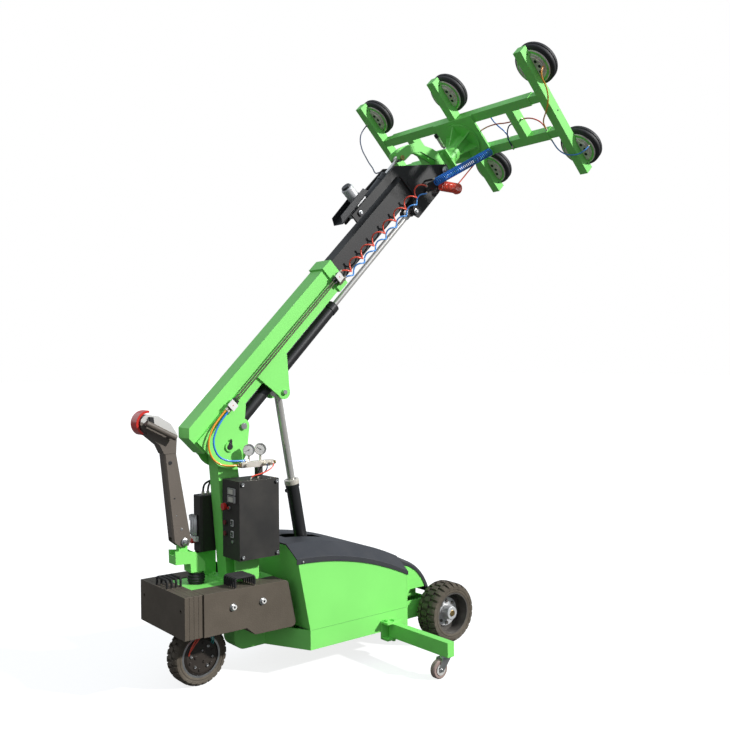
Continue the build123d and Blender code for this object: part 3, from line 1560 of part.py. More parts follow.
# Inner boom: sliding tube with wear pads, head plates and the actuator's rear arms
half_inner = inner_w / 2
arm_n = (tilt_base[1] - 24.0, tilt_base[1] + 28.0)
head_outline = [
    (tilt_base[0] - 54.0, arm_n[1]),
    (tilt_pivot[0] - 302.0, arm_n[1]),
    (tilt_pivot[0] + 44.0, tilt_pivot[1] + 16.0),
    (tilt_pivot[0] + 34.0, tilt_pivot[1] - 26.0),
    (tilt_pivot[0] - 130.0, tilt_pivot[1] - 66.0),
    (tele_tip - 2.0, tele_n - 44.0),
    (tele_tip - 22.0, tele_n - 2.0),
    (inner_end - 28.0, inner_low + 16.0),
    (inner_end - 34.0, inner_high + 8.0),
    (inner_end - 40.0, inner_high + 24.0),
    (inner_end - 52.0, inner_high + 34.0),
    (inner_end - 68.0, arm_n[0]),
    (tilt_base[0] - 54.0, arm_n[0]),
]
with BuildPart() as inner_boom:
    across((inner_rear, inner_end), (-half_inner, half_inner), (inner_low, inner_high))
    pad_out = half_boom - boom_wall - slide_gap
    across(
        (inner_rear, inner_rear + 60.0),
        (-pad_out, pad_out),
        (boom_low + boom_wall + slide_gap, boom_high - boom_wall - slide_gap),
    )
    across(
        (inner_rear, inner_end),
        (boom_wall - half_inner, half_inner - boom_wall),
        (inner_low + boom_wall, inner_high - boom_wall),
        Mode.SUBTRACT,
    )
    for y_sign in (-1, 1):
        head = sorted((y_sign * half_inner, y_sign * (half_inner + head_t)))
        slab(boom_side, head_outline, *head)
        disc = sorted((y_sign * half_inner, y_sign * (half_inner + head_t + 3.0)))
        round_y(boom_side, (inner_end + 8.0, inner_low + 73.0), 25.0, *disc)
        base_stub = sorted((y_sign * 30.0, y_sign * (half_inner + head_t + 4.0)))
        round_y(boom_side, tilt_base, hook_pin_r, *base_stub)
    head_pin_half = half_inner + head_t + 6.0
    round_y(boom_side, (tele_tip, tele_n), tele_pin_r, -head_pin_half, head_pin_half)
    round_y(boom_side, tilt_pivot, tilt_pin_r, -head_pin_half, head_pin_half)
    head_face_y = -half_inner - head_t
    for spiral in spirals:
        face = spiral.tail(spiral.quarters, 1)
        heading = spiral.heading(spiral.quarters)
        fitting(face, heading, (head_face_y - face.Y) / heading.Y + fitting_r)
    for coil in (red_coil, blue_coil):
        face = coil.tail(0, -1)
        heading = coil.heading(0)
        fitting(face, -heading, (face.Y - head_face_y) / heading.Y + 2.0)
save(inner_boom, "inner_boom")

# Tilt lever: two hooked plates on the head pin, front flange and spindle for the vacuum frame
lever_outline = [
    (tilt_hook[0] - 26.0, tilt_hook[1] + 10.0),
    (tilt_hook[0] - 6.0, tilt_hook[1] + 40.0),
    (tilt_hook[0] + 80.0, tilt_hook[1] + 26.0),
    (tilt_hook[0] + 152.0, tilt_hook[1] - 2.0),
    (tilt_pivot[0] + 30.0, tilt_pivot[1] + 150.0),
    (tilt_pivot[0] + 72.0, tilt_pivot[1] + 70.0),
    (hub_face, hub_n + 75.0),
    (hub_face, hub_n - 85.0),
    (tilt_pivot[0] + 40.0, tilt_pivot[1] - 72.0),
    (tilt_pivot[0] - 22.0, tilt_pivot[1] - 24.0),
    (tilt_pivot[0] - 28.0, tilt_pivot[1] + 22.0),
    (tilt_pivot[0] + 6.0, tilt_pivot[1] + 76.0),
    (tilt_pivot[0] - 56.0, tilt_pivot[1] + 190.0),
    (tilt_hook[0] + 92.0, tilt_hook[1] - 32.0),
    (tilt_hook[0] + 10.0, tilt_hook[1] - 28.0),
]
spindle_end = frame_back - 36.0
housing_end = hub_face + 100.0
with BuildPart() as tilt_lever:
    for y_sign in (-1, 1):
        cheek = sorted((y_sign * lever_in, y_sign * lever_out))
        slab(boom_side, lever_outline, *cheek)
        hook_stub = sorted((y_sign * (lever_in - 3.0), y_sign * (half_inner - side_gap)))
        round_y(boom_side, tilt_hook, hook_pin_r, *hook_stub)
    lever_boss = half_inner - side_gap
    round_y(boom_side, tilt_pivot, tilt_pin_r + 14.0, -lever_boss, lever_boss)
    round_y(boom_side, tilt_pivot, tilt_pin_r + run_fit, -lever_boss, lever_boss, Mode.SUBTRACT)
    across((hub_face, hub_face + 12.0), (-72.0, 72.0), (hub_n - 90.0, hub_n + 90.0))
    disc_s((0, hub_n), 50.0, hub_face + 12.0, housing_end)
    disc_s((0, hub_n), spindle_r, housing_end, spindle_end)
save(tilt_lever, "tilt_lever")

# Tilt actuator between the rear arms, with its motor standing up and a channel tray behind
act_vec = Vector(tilt_hook[0] - tilt_base[0], 0, tilt_hook[1] - tilt_base[1])
act_len = act_vec.length
act_turn = radians(boom_angle) + atan2(tilt_hook[1] - tilt_base[1], tilt_hook[0] - tilt_base[0])
act_at = boom_side.from_local_coords((tilt_base[0], tilt_base[1], 0))
act_side = Plane(act_at, x_dir=(cos(act_turn), 0, sin(act_turn)), z_dir=(0, -1, 0))
act_cross = Plane(act_at, x_dir=(0, 1, 0), z_dir=(cos(act_turn), 0, sin(act_turn)))
motor_a = 70.0
with BuildPart() as tilt_actuator:
    round_y(act_side, (0, 0), 24.0, -28.0, 28.0)
    with BuildSketch(act_cross.offset(12.0)):
        Circle(actuator_r)
    extrude(amount=actuator_len - 12.0)
    slab(act_side, [(24.0, -24.0), (116.0, -24.0), (116.0, 34.0), (24.0, 34.0)], -36.0, 36.0)
    motor_foot = Plane(
        act_side.from_local_coords((motor_a, 34.0, 0)),
        x_dir=(0, 1, 0),
        z_dir=(-sin(act_turn), 0, cos(act_turn)),
    )
    with BuildSketch(motor_foot):
        Circle(36.0)
    extrude(amount=104.0)
    with BuildSketch(motor_foot.offset(104.0)):
        Circle(28.0)
    extrude(amount=12.0)
    slab(act_side, [(-128.0, 34.0), (150.0, 34.0), (150.0, 39.0), (-128.0, 39.0)], -42.0, 42.0)
    for y_sign in (-1, 1):
        lip = sorted((y_sign * 38.0, y_sign * 42.0))
        slab(act_side, [(-128.0, 39.0), (150.0, 39.0), (130.0, 74.0), (-108.0, 74.0)], *lip)
    with BuildSketch(act_cross.offset(actuator_bore_from)):
        Circle(actuator_rod_r + run_fit)
    extrude(amount=actuator_len - actuator_bore_from, mode=Mode.SUBTRACT)
save(tilt_actuator, "tilt_actuator")

with BuildPart() as tilt_rod:
    round_y(act_side, (act_len, 0), 20.0, 3.0 - lever_in + side_gap, lever_in - 3.0 - side_gap)
    with BuildSketch(act_cross.offset(actuator_bore_from + actuator_spare)):
        Circle(actuator_rod_r)
    extrude(amount=act_len - actuator_bore_from - actuator_spare - 12.0)
save(tilt_rod, "tilt_rod")

# Lift cylinder from the chassis to the boom's lugs
lug_at = boom_side.from_local_coords((lug_pin[0], lug_pin[1], 0))
lift_at = Vector(drive_x + lift_base[0], 0, lift_base[1])
lift_vec = lug_at - lift_at
lift_len = lift_vec.length
lift_dir = lift_vec.normalized()
lift_side = Plane(lift_at, x_dir=lift_dir, z_dir=(0, -1, 0))
lift_cross = Plane(lift_at, x_dir=(0, 1, 0), z_dir=lift_dir)
gland_len = 42.0
with BuildPart() as lift_barrel:
    round_y(lift_side, (0, 0), lift_foot_r, -29.0, 29.0)
    with BuildSketch(lift_cross):
        Circle(lift_neck_r)
    extrude(amount=lift_neck_len)
    with BuildSketch(lift_cross.offset(lift_neck_len)):
        Circle(lift_barrel_r)
    extrude(amount=lift_barrel_len - lift_neck_len)
    with BuildSketch(lift_cross.offset(lift_barrel_len - gland_len)):
        Circle(lift_barrel_r + 3.0)
    extrude(amount=gland_len)
    with BuildSketch(lift_cross.offset(120.0)):
        Circle(lift_rod_r + 5.0)
    extrude(amount=lift_barrel_len - gland_len - 120.0, mode=Mode.SUBTRACT)
    with BuildSketch(lift_cross.offset(lift_barrel_len - gland_len)):
        Circle(lift_rod_r + run_fit)
    extrude(amount=gland_len, mode=Mode.SUBTRACT)
save(lift_barrel, "lift_barrel")

with BuildPart() as lift_rod:
    eye_half = half_boom - 30.0
    round_y(lift_side, (lift_len, 0), lift_eye_r, -eye_half, eye_half)
    with BuildSketch(lift_cross.offset(lift_len - lift_rod_len)):
        Circle(lift_rod_r)
    extrude(amount=lift_rod_len - lug_pin_r - 6.0)
    with BuildSketch(lift_cross.offset(lift_len - lift_rod_len)):
        Circle(lift_rod_r + 5.0 - slide_gap)
    extrude(amount=34.0)
    round_y(lift_side, (lift_len, 0), lug_pin_r + run_fit, -eye_half, eye_half, Mode.SUBTRACT)
save(lift_rod, "lift_rod")

# Vacuum frame: two hollow rails, centre arm, short bars, hub plate with ribs and bearing tube
frame_front = frame_back + frame_depth
rail_n = (hub_n - rail_pitch / 2, hub_n + rail_pitch / 2)
half_rail = rail_w / 2
half_arm = arm_w / 2
hub_plate_back = frame_back - 13.0
flange_back = hub_plate_back - 12.0


def hollow(y, n):
    """A hollow tube of the frame between spans across and square to the boom."""
    across((frame_back, frame_front), y, n)


def core(y, n):
    """The inside of a frame tube."""
    across((frame_back + tube_wall, frame_front - tube_wall), y, n, Mode.SUBTRACT)


cup_n = (hub_n - cup_pitch / 2, hub_n + cup_pitch / 2)
ribs_round = 6
arm_span = (hub_n - arm_half, hub_n + arm_half)
with BuildPart() as vacuum_frame:
    hollow((-half_arm, half_arm), arm_span)
    for n in rail_n:
        hollow((-rail_end, rail_end), (n - half_rail, n + half_rail))
    for y in (-bar_y, bar_y):
        hollow((y - half_arm, y + half_arm), rail_n)
    core((tube_wall - half_arm, half_arm - tube_wall), (arm_span[0] + tube_wall, arm_span[1] - tube_wall))
    for n in rail_n:
        core((-rail_end, rail_end), (n - half_rail + tube_wall, n + half_rail - tube_wall))
    across(
        (hub_plate_back, frame_back),
        (-hub_plate_half, hub_plate_half),
        (rail_n[0] - half_rail, rail_n[1] + half_rail),
    )
    disc_s((0, hub_n), hub_flange_r, flange_back, hub_plate_back)
    disc_s((0, hub_n), spindle_r + 24.0, housing_end + side_gap, flange_back)
    hub_at = boom_cross.from_local_coords((0, hub_n, flange_back))
    for i in range(ribs_round):
        turn = 2 * pi * (i + 0.5) / ribs_round
        outward = boom_cross.x_dir * cos(turn) + boom_cross.y_dir * sin(turn)
        rib_side = Plane(hub_at, x_dir=outward, z_dir=boom_cross.z_dir.cross(outward))
        with BuildSketch(rib_side.offset(-4.0)):
            with BuildLine():
                Polyline(
                    (spindle_r + 12.0, 0),
                    (hub_flange_r - 8.0, 0),
                    (spindle_r + 26.0, flange_back - housing_end - 8.0),
                    (spindle_r + 12.0, flange_back - housing_end - 8.0),
                    close=True,
                )
            make_face()
        extrude(amount=8.0)
    for n in cup_n:
        disc_s((0, n), cup_plate_r, frame_front, frame_front + cup_plate_t)
    disc_s((0, hub_n), spindle_r + run_fit, housing_end, spindle_end + 2.0, Mode.SUBTRACT)
    coil_end = blue_coil.tail(blue_coil.quarters, 1)
    coil_heading = blue_coil.heading(blue_coil.quarters)
    fitting(coil_end, coil_heading, 3 * fitting_r)
    elbow = coil_end + coil_heading * 2 * fitting_r
    fitting(elbow, boom_cross.z_dir, hub_plate_back - boom_cross.to_local_coords(elbow).Z + 1.0)
    navy_end = (frame_back - tube_r - 1.0, half_arm - bar_y + 83.0, rail_n[0] - half_rail)
    fitting(boom_point(*navy_end), boom_cross.y_dir, 2 * fitting_r)
save(vacuum_frame, "vacuum_frame")

# End arms: slide in and out of the rails, each carrying two cups
stub_half_n = half_rail - tube_wall - slide_gap
for side_name, y_sign in (("right", -1), ("left", 1)):
    arm_mid = y_sign * arm_y
    with BuildPart() as end_arm:
        hollow((arm_mid - half_arm, arm_mid + half_arm), arm_span)
        core(
            (arm_mid - half_arm + tube_wall, arm_mid + half_arm - tube_wall),
            (arm_span[0] + tube_wall, arm_span[1] - tube_wall),
        )
        for n in rail_n:
            across(
                (frame_back + tube_wall + slide_gap, frame_front - tube_wall - slide_gap),
                sorted((y_sign * stub_in, y_sign * (arm_y - half_arm))),
                (n - stub_half_n, n + stub_half_n),
            )
        for n in cup_n:
            disc_s((arm_mid, n), cup_plate_r, frame_front, frame_front + cup_plate_t)
    save(end_arm, f"end_arm_{side_name}")


def cup(at):
    """A vacuum cup: ribbed hub under the carrier plate and a hollow rubber ring."""
    cup_back = frame_front + cup_plate_t
    disc_s(at, cup_r, cup_back + 8.0, cup_front)
    disc_s(at, cup_r - 22.0, cup_front - 22.0, cup_front, Mode.SUBTRACT)
    disc_s(at, cup_plate_r, cup_back, cup_back + 8.0)


for node, y in (("cups_mid", 0.0), ("cups_right", -arm_y), ("cups_left", arm_y)):
    with BuildPart() as cups:
        for n in cup_n:
            cup((y, n))
    save(cups, node)


# Two air hoses hanging from the lower block to the manifold
loop_top = boom_point(block_low[0] - 24.0, pipe_y, block_low[1])
loop_end = axle_point(manifold_x[0], manifold_y, sum(manifold_z) / 2)
up_n = boom_cross.y_dir
with BuildPart() as loop_hoses:
    orange = [
        loop_top + up_n * 7.5,
        loop_top + up_n * 7.5 - boom_cross.z_dir * 65.0,
        loop_top + up_n * 7.5 + Vector(-98, -8, -104),
        loop_end + Vector(-170, 26, 108),
        loop_end + Vector(-150, 18, 40),
        loop_end + Vector(-104, 8, 6),
        loop_end + Vector(-48, 0, 0),
        loop_end,
    ]
    over_manifold = manifold_z[1] - loop_end.Z + loop_r + 1.0
    gauge_foot = loop_end + Vector(gauge_x[0] - manifold_x[0] - 6.0, 0, over_manifold)
    blue = [
        loop_top - up_n * 7.5,
        loop_top - up_n * 7.5 - boom_cross.z_dir * 61.0,
        loop_top - up_n * 7.5 + Vector(-84, -10, -98),
        gauge_foot + Vector(-188, 22, 100),
        gauge_foot + Vector(-168, 14, 34),
        gauge_foot + Vector(-118, 8, 4),
        gauge_foot + Vector(-58, 0, 0),
        gauge_foot,
    ]
    loop_bends = [hose(orange, loop_r), hose(blue, loop_r)]
save(loop_hoses, "loop_hoses")

# Stretched curls along the inner boom, from the upper block to the head
with BuildPart() as spiral_hoses:
    spiral_gaps = [spiral.wind() for spiral in spirals]
save(spiral_hoses, "spiral_hoses")

# Gathered curls at the head: the red one runs on below the hub, the blue one reaches over to the frame
with BuildPart() as coil_hoses:
    red_last = red_coil.quarters
    red_run_on = [
        red_coil.place(red_last) + red_coil.heading(red_last) * 30.0,
        boom_point(tilt_pivot[0] - 14.0, -30.0, tilt_pivot[1] - 150.0),
        boom_point(tilt_pivot[0] + 12.0, -15.0, tilt_pivot[1] - 152.0),
        boom_point(tilt_pivot[0] + 69.0, -12.0, tilt_pivot[1] - 154.0),
        boom_point(tilt_pivot[0] + 134.0, -20.0, tilt_pivot[1] - 151.0),
        boom_point(tilt_pivot[0] + 199.0, -38.0, tilt_pivot[1] - 142.0),
        boom_point(hub_plate_back - 57.0, -58.0, hub_n - 138.0),
        boom_point(hub_plate_back, -58.0, hub_n - 138.0),
    ]
    coil_gaps = [red_coil.wind(red_run_on), blue_coil.wind()]
save(coil_hoses, "coil_hoses")

# Thin air tubes on the vacuum frame and the cable to its left arm
mid_s = frame_back + frame_depth / 2
behind = frame_back - 12.0
low_rail_top = rail_n[0] + half_rail
high_rail_low = rail_n[1] - half_rail
with BuildPart() as frame_tubes:
    tube_bends = [
        hose(
            [
                boom_point(mid_s, -half_arm, hub_n + 4.0),
                boom_point(mid_s, -100.0, hub_n + 4.0),
                boom_point(mid_s + 4.0, -190.0, hub_n + 26.0),
                boom_point(mid_s + 4.0, -280.0, hub_n + 27.0),
                boom_point(mid_s, -345.0, hub_n + 16.0),
                boom_point(mid_s, half_arm - bar_y, hub_n + 16.0),
            ],
            tube_r,
        ),
        hose(
            [
                boom_point(mid_s, -bar_y - half_arm, hub_n + 14.0),
                boom_point(mid_s, -bar_y - half_arm - 42.0, hub_n + 14.0),
                boom_point(mid_s, 54.0 - rail_end, hub_n - 6.0),
                boom_point(mid_s, 18.0 - rail_end, hub_n - 48.0),
                boom_point(mid_s, 18.0 - rail_end, low_rail_top),
            ],
            tube_r,
        ),
        hose(
            [
                boom_point(mid_s - 14.0, 6.0 - rail_end, low_rail_top),
                boom_point(mid_s - 14.0, 6.0 - rail_end, hub_n - 52.0),
                boom_point(mid_s - 34.0, 64.0 - arm_y, hub_n - 10.0),
                boom_point(behind, 12.0 - arm_y, hub_n + 36.0),
                boom_point(behind, -arm_y - 38.0, hub_n + 92.0),
                boom_point(behind, -arm_y - 66.0, hub_n + 148.0),
                boom_point(behind + 1.0, -arm_y - 77.0, hub_n + 196.0),
                boom_point(behind + 1.0, -arm_y - 78.0, hub_n + 236.0),
                boom_point(mid_s - 26.0, -arm_y - 78.0, hub_n + 262.0),
                boom_point(mid_s, -arm_y - 77.0, hub_n + 277.0),
                boom_point(frame_front, -arm_y - 77.0, hub_n + 277.0),
            ],
            tube_r,
        ),
        hose(
            [
                boom_point(mid_s - 14.0, 10.0 - rail_end, rail_n[0] - half_rail),
                boom_point(mid_s - 14.0, 10.0 - rail_end, hub_n - 186.0),
                boom_point(mid_s - 31.0, 78.0 - arm_y, hub_n - 226.0),
                boom_point(behind + 1.0, 40.0 - arm_y, hub_n - 260.0),
                boom_point(behind + 1.0, -arm_y - 6.0, hub_n - 274.0),
                boom_point(behind + 1.0, -arm_y - 45.0, hub_n - 276.0),
                boom_point(mid_s - 26.0, -arm_y - 71.0, hub_n - 274.0),
                boom_point(mid_s, -arm_y - 86.0, hub_n - 273.0),
                boom_point(frame_front, -arm_y - 86.0, hub_n - 273.0),
            ],
            tube_r,
        ),
        hose(
            [
                boom_point(mid_s - 8.0, half_arm - bar_y, hub_n + 6.0),
                boom_point(mid_s - 8.0, half_arm - bar_y + 33.0, hub_n + 6.0),
                boom_point(mid_s - 14.0, half_arm - bar_y + 61.0, hub_n - 14.0),
                boom_point(mid_s - 32.0, half_arm - bar_y + 79.0, hub_n - 54.0),
                boom_point(navy_end[0], navy_end[1], hub_n - 96.0),
                boom_point(navy_end[0], navy_end[1], navy_end[2] + 2 * fitting_r),
            ],
            tube_r,
        ),
        hose(
            [
                boom_point(mid_s + 16.0, -248.0, high_rail_low),
                boom_point(mid_s + 16.0, -248.0, hub_n + 48.0),
                boom_point(mid_s + 16.0, -266.0, hub_n - 2.0),
                boom_point(mid_s + 16.0, -292.0, hub_n - 48.0),
                boom_point(mid_s + 16.0, -292.0, low_rail_top),
            ],
            tube_r,
        ),
        hose(
            [
                boom_point(frame_back, arm_y + 12.0, hub_n + 295.0),
                boom_point(frame_back - 43.0, arm_y + 12.0, hub_n + 295.0),
                boom_point(frame_back - 95.0, arm_y + 14.0, hub_n + 282.0),
                boom_point(frame_back - 150.0, arm_y - 14.0, hub_n + 266.0),
                boom_point(frame_back - 205.0, arm_y - 62.0, hub_n + 255.0),
                boom_point(frame_back - 273.0, arm_y - 130.0, hub_n + 245.0),
                boom_point(frame_back - 337.0, arm_y - 206.0, hub_n + 239.0),
                boom_point(frame_back - 401.0, arm_y - 282.0, hub_n + 236.0),
                boom_point(tilt_pivot[0] - 134.0, 342.0, hub_n + 235.0),
                boom_point(tilt_pivot[0] - 194.0, 262.0, hub_n + 236.0),
                boom_point(tilt_pivot[0] - 258.0, 190.0, hub_n + 239.0),
                boom_point(tilt_pivot[0] - 303.0, 128.0, hub_n + 248.0),
                boom_point(tilt_pivot[0] - 316.0, 90.0, arm_n[1] - 9.0),
                boom_point(tilt_pivot[0] - 316.0, half_inner + head_t, arm_n[1] - 9.0),
            ],
            tube_r,
        ),
    ]
save(frame_tubes, "frame_tubes")
print("bend radii", loop_bends, tube_bends)
print("self gaps", spiral_gaps, coil_gaps)
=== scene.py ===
"""Vacuum glass trolley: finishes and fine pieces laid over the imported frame.

The model is in metres, +X forwards, +Y to the trolley's left, +Z up. Measures of pieces and local
places are millimetres, those of finishes and of the studio metres. Local places are given from the drive
axle on the floor (forwards, left, up), along the raised boom (out from its pivot, left, square to it) or
on a face (right, up, outwards). Place.at turns them into points of the model.
"""

import itertools
import json
import logging
from dataclasses import dataclass, field
from enum import Enum
from functools import partial
from math import acos, cos, pi, radians, sin

import bmesh
import bpy
import numpy as np
from mathutils import Matrix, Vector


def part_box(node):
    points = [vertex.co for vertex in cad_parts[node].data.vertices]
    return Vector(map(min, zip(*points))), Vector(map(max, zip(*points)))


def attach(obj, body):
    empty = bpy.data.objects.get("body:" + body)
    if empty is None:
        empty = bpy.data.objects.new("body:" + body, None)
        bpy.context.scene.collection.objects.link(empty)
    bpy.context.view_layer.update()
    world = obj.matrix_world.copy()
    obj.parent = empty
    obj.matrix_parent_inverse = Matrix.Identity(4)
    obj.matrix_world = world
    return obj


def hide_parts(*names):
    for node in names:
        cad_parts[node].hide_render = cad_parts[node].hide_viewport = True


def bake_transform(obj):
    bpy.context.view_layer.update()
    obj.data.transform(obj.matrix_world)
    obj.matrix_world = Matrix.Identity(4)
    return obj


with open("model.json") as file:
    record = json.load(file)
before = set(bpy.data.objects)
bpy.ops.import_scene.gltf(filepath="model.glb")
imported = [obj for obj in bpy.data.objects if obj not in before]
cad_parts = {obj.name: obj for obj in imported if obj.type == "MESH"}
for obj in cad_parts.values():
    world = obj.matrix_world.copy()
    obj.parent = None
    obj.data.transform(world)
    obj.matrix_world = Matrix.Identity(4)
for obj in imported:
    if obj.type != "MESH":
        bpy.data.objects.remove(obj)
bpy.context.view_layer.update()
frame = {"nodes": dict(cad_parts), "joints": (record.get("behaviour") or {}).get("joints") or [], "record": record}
log = logging.getLogger("trolley")
Points = np.ndarray
Colour = tuple[float, float, float]
Pairs = list[tuple[float, float]]
Socket = bpy.types.NodeSocket
MM = 1000.0
UP = (0.0, 0.0, 1.0)
WHITE = (1.0, 1.0, 1.0)
SIDES = (("right", -1.0), ("left", 1.0))
WELD = 2e-6
SINK = 0.5
CROSSWISE = 0.9
CURL_STEPS = 16
FRONT_AXLE_X = 1418
FRONT_WHEEL_R = 168
FRONT_WHEEL_Y = 316
HUB_DISC_Y = 325
DRIVE_WHEEL_R = 149


def unit(rows: Points) -> Points:
    """A vector, or each row of an array of vectors, at length one."""
    rows = np.asarray(rows, float)
    return rows / np.linalg.norm(rows, axis=-1, keepdims=True)


def mm(*step: float) -> Points:
    """A step of the model given in millimetres."""
    return np.array(step, float) / MM


def stance(directions: list[Points], origin: Points) -> Matrix:
    """An object's matrix from its three directions and its origin."""
    turn = np.eye(4)
    turn[:3, :3] = np.stack(directions, axis=1)
    turn[:3, 3] = origin
    return Matrix(turn.tolist())


def show(name: str, data: bpy.types.ID) -> bpy.types.Object:
    """A new object of the scene that carries a mesh, a lamp or a camera."""
    piece = bpy.data.objects.new(name, data)
    bpy.context.scene.collection.objects.link(piece)
    return piece


def mesh_points(mesh: bpy.types.Mesh) -> Points:
    """The points of a mesh, one row each."""
    points = np.empty(len(mesh.vertices) * 3)
    mesh.vertices.foreach_get("co", points)
    return points.reshape(-1, 3)


@dataclass(frozen=True)
class Place:
    """A local frame: an origin and three square directions, the third one outwards."""

    origin: Points
    u: Points
    v: Points
    w: Points

    @classmethod
    def facing(cls, origin: Points, outward: Points, up: Points = UP) -> "Place":
        """A place on a face.

        Args:
            origin: a point of the face.
            outward: the direction that the face looks in.
            up: the direction that counts as up on the face.

        Returns:
            The place, its first direction to the right of one who looks at the face.
        """
        w = unit(outward)
        u = unit(np.cross(up, w))
        return cls(np.asarray(origin, float), u, np.cross(w, u), w)

    def at(self, local: Points) -> Points:
        """Local triples (u, v, w) in millimetres as points of the model."""
        local = np.asarray(local, float) / MM
        return self.origin + local[..., :1] * self.u + local[..., 1:2] * self.v + local[..., 2:] * self.w

    def moved(self, u: float, v: float, w: float) -> "Place":
        """The same directions from another origin."""
        return Place(self.at((u, v, w)), self.u, self.v, self.w)


class Layout:
    """The trolley's two main frames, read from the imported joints, and its two sides."""

    def __init__(self) -> None:
        self.joints = {joint["name"]: joint for joint in frame["joints"]}
        ahead, across, up = np.eye(3)
        out = unit(self.joints["boom_extend"]["axis"])
        axle = np.array((self.joints["drive_spin"]["pos_m"][0], 0.0, 0.0))
        self.floor = Place(axle, ahead, across, up)
        self.boom = Place(np.array(self.joints["boom_luff"]["pos_m"]), out, across, np.cross(out, across))
        self.sides = (-across, across)

    def rear_face(self, x: float) -> Place:
        """A face that looks backwards: u to the right, v up."""
        return Place.facing(self.floor.at((x, 0, 0)), -self.floor.u)

    def landed(self, node: str, point: Points, outward: Points, up: Points = UP) -> Place:
        """The place where a line from outside meets a CAD node.

        Args:
            node: the CAD node's name.
            point: any point of the line.
            outward: the direction from the node to the onlooker.
            up: the direction that counts as up on the place.

        Returns:
            The place on the node's skin, facing outwards.
        """
        outward = unit(outward)
        start = np.asarray(point, float) + outward
        hit, spot, _, _ = frame["nodes"][node].ray_cast(tuple(start), tuple(-outward))
        if not hit:
            raise ValueError(f"nothing of {node} at {np.round(point, 3)}")
        return Place.facing(np.array(spot), outward, up)


layout = Layout()


class Graph:
    """Adds nodes to one shader tree and joins them."""

    def __init__(self, tree: bpy.types.NodeTree) -> None:
        self.tree = tree

    def add(self, kind: str, inputs: dict | None = None, **settings) -> bpy.types.Node:
        """Add a node.

        Args:
            kind: Blender's name of the node.
            inputs: by socket name or number, a value or another node's output socket.
            settings: properties of the node itself.

        Returns:
            The new node.
        """
        node = self.tree.nodes.new(kind)
        for name, value in settings.items():
            setattr(node, name, value)
        self.feed(node, inputs or {})
        return node

    def feed(self, node: bpy.types.Node, inputs: dict) -> None:
        """Give a node's inputs their values or join them to other nodes' outputs."""
        for name, value in inputs.items():
            if isinstance(value, Socket):
                self.tree.links.new(value, node.inputs[name])
            else:
                node.inputs[name].default_value = value

    def math(self, operation: str, *values) -> Socket:
        """The result of a Math node on values or sockets, held between 0 and 1."""
        node = self.add("ShaderNodeMath", dict(enumerate(values)), operation=operation, use_clamp=True)
        return node.outputs[0]

    def mix(self, share: Socket, *ends: Colour | Socket) -> Socket:
        """Two colours mixed by a share."""
        first, second = (end if isinstance(end, Socket) else (*end, 1.0) for end in ends)
        return self.add("ShaderNodeMix", {0: share, 6: first, 7: second}, data_type="RGBA").outputs[2]

    def noise(self, scale: float | Socket, detail: float) -> Socket:
        """Noise on Object coordinates."""
        inputs = {"Vector": self.coordinates(), "Scale": scale, "Detail": detail}
        return self.add("ShaderNodeTexNoise", inputs).outputs[0]

    def ramp(self, value: Socket, low: float, high: float | Socket, onto: tuple = (0.0, 1.0)) -> Socket:
        """A value between low and high carried over to another span."""
        return self.add("ShaderNodeMapRange", {0: value, 1: low, 2: high, 3: onto[0], 4: onto[1]}).outputs[0]

    def coordinates(self, kind: str = "Object") -> Socket:
        """Texture coordinates of a kind."""
        return self.add("ShaderNodeTexCoord").outputs[kind]

    def height(self, kind: str = "Object") -> Socket:
        """The upward one of the coordinates."""
        return self.add("ShaderNodeSeparateXYZ", {0: self.coordinates(kind)}).outputs["Z"]

    def camera_ray(self) -> Socket:
        """One for rays from the camera, else zero."""
        return self.add("ShaderNodeLightPath").outputs["Is Camera Ray"]


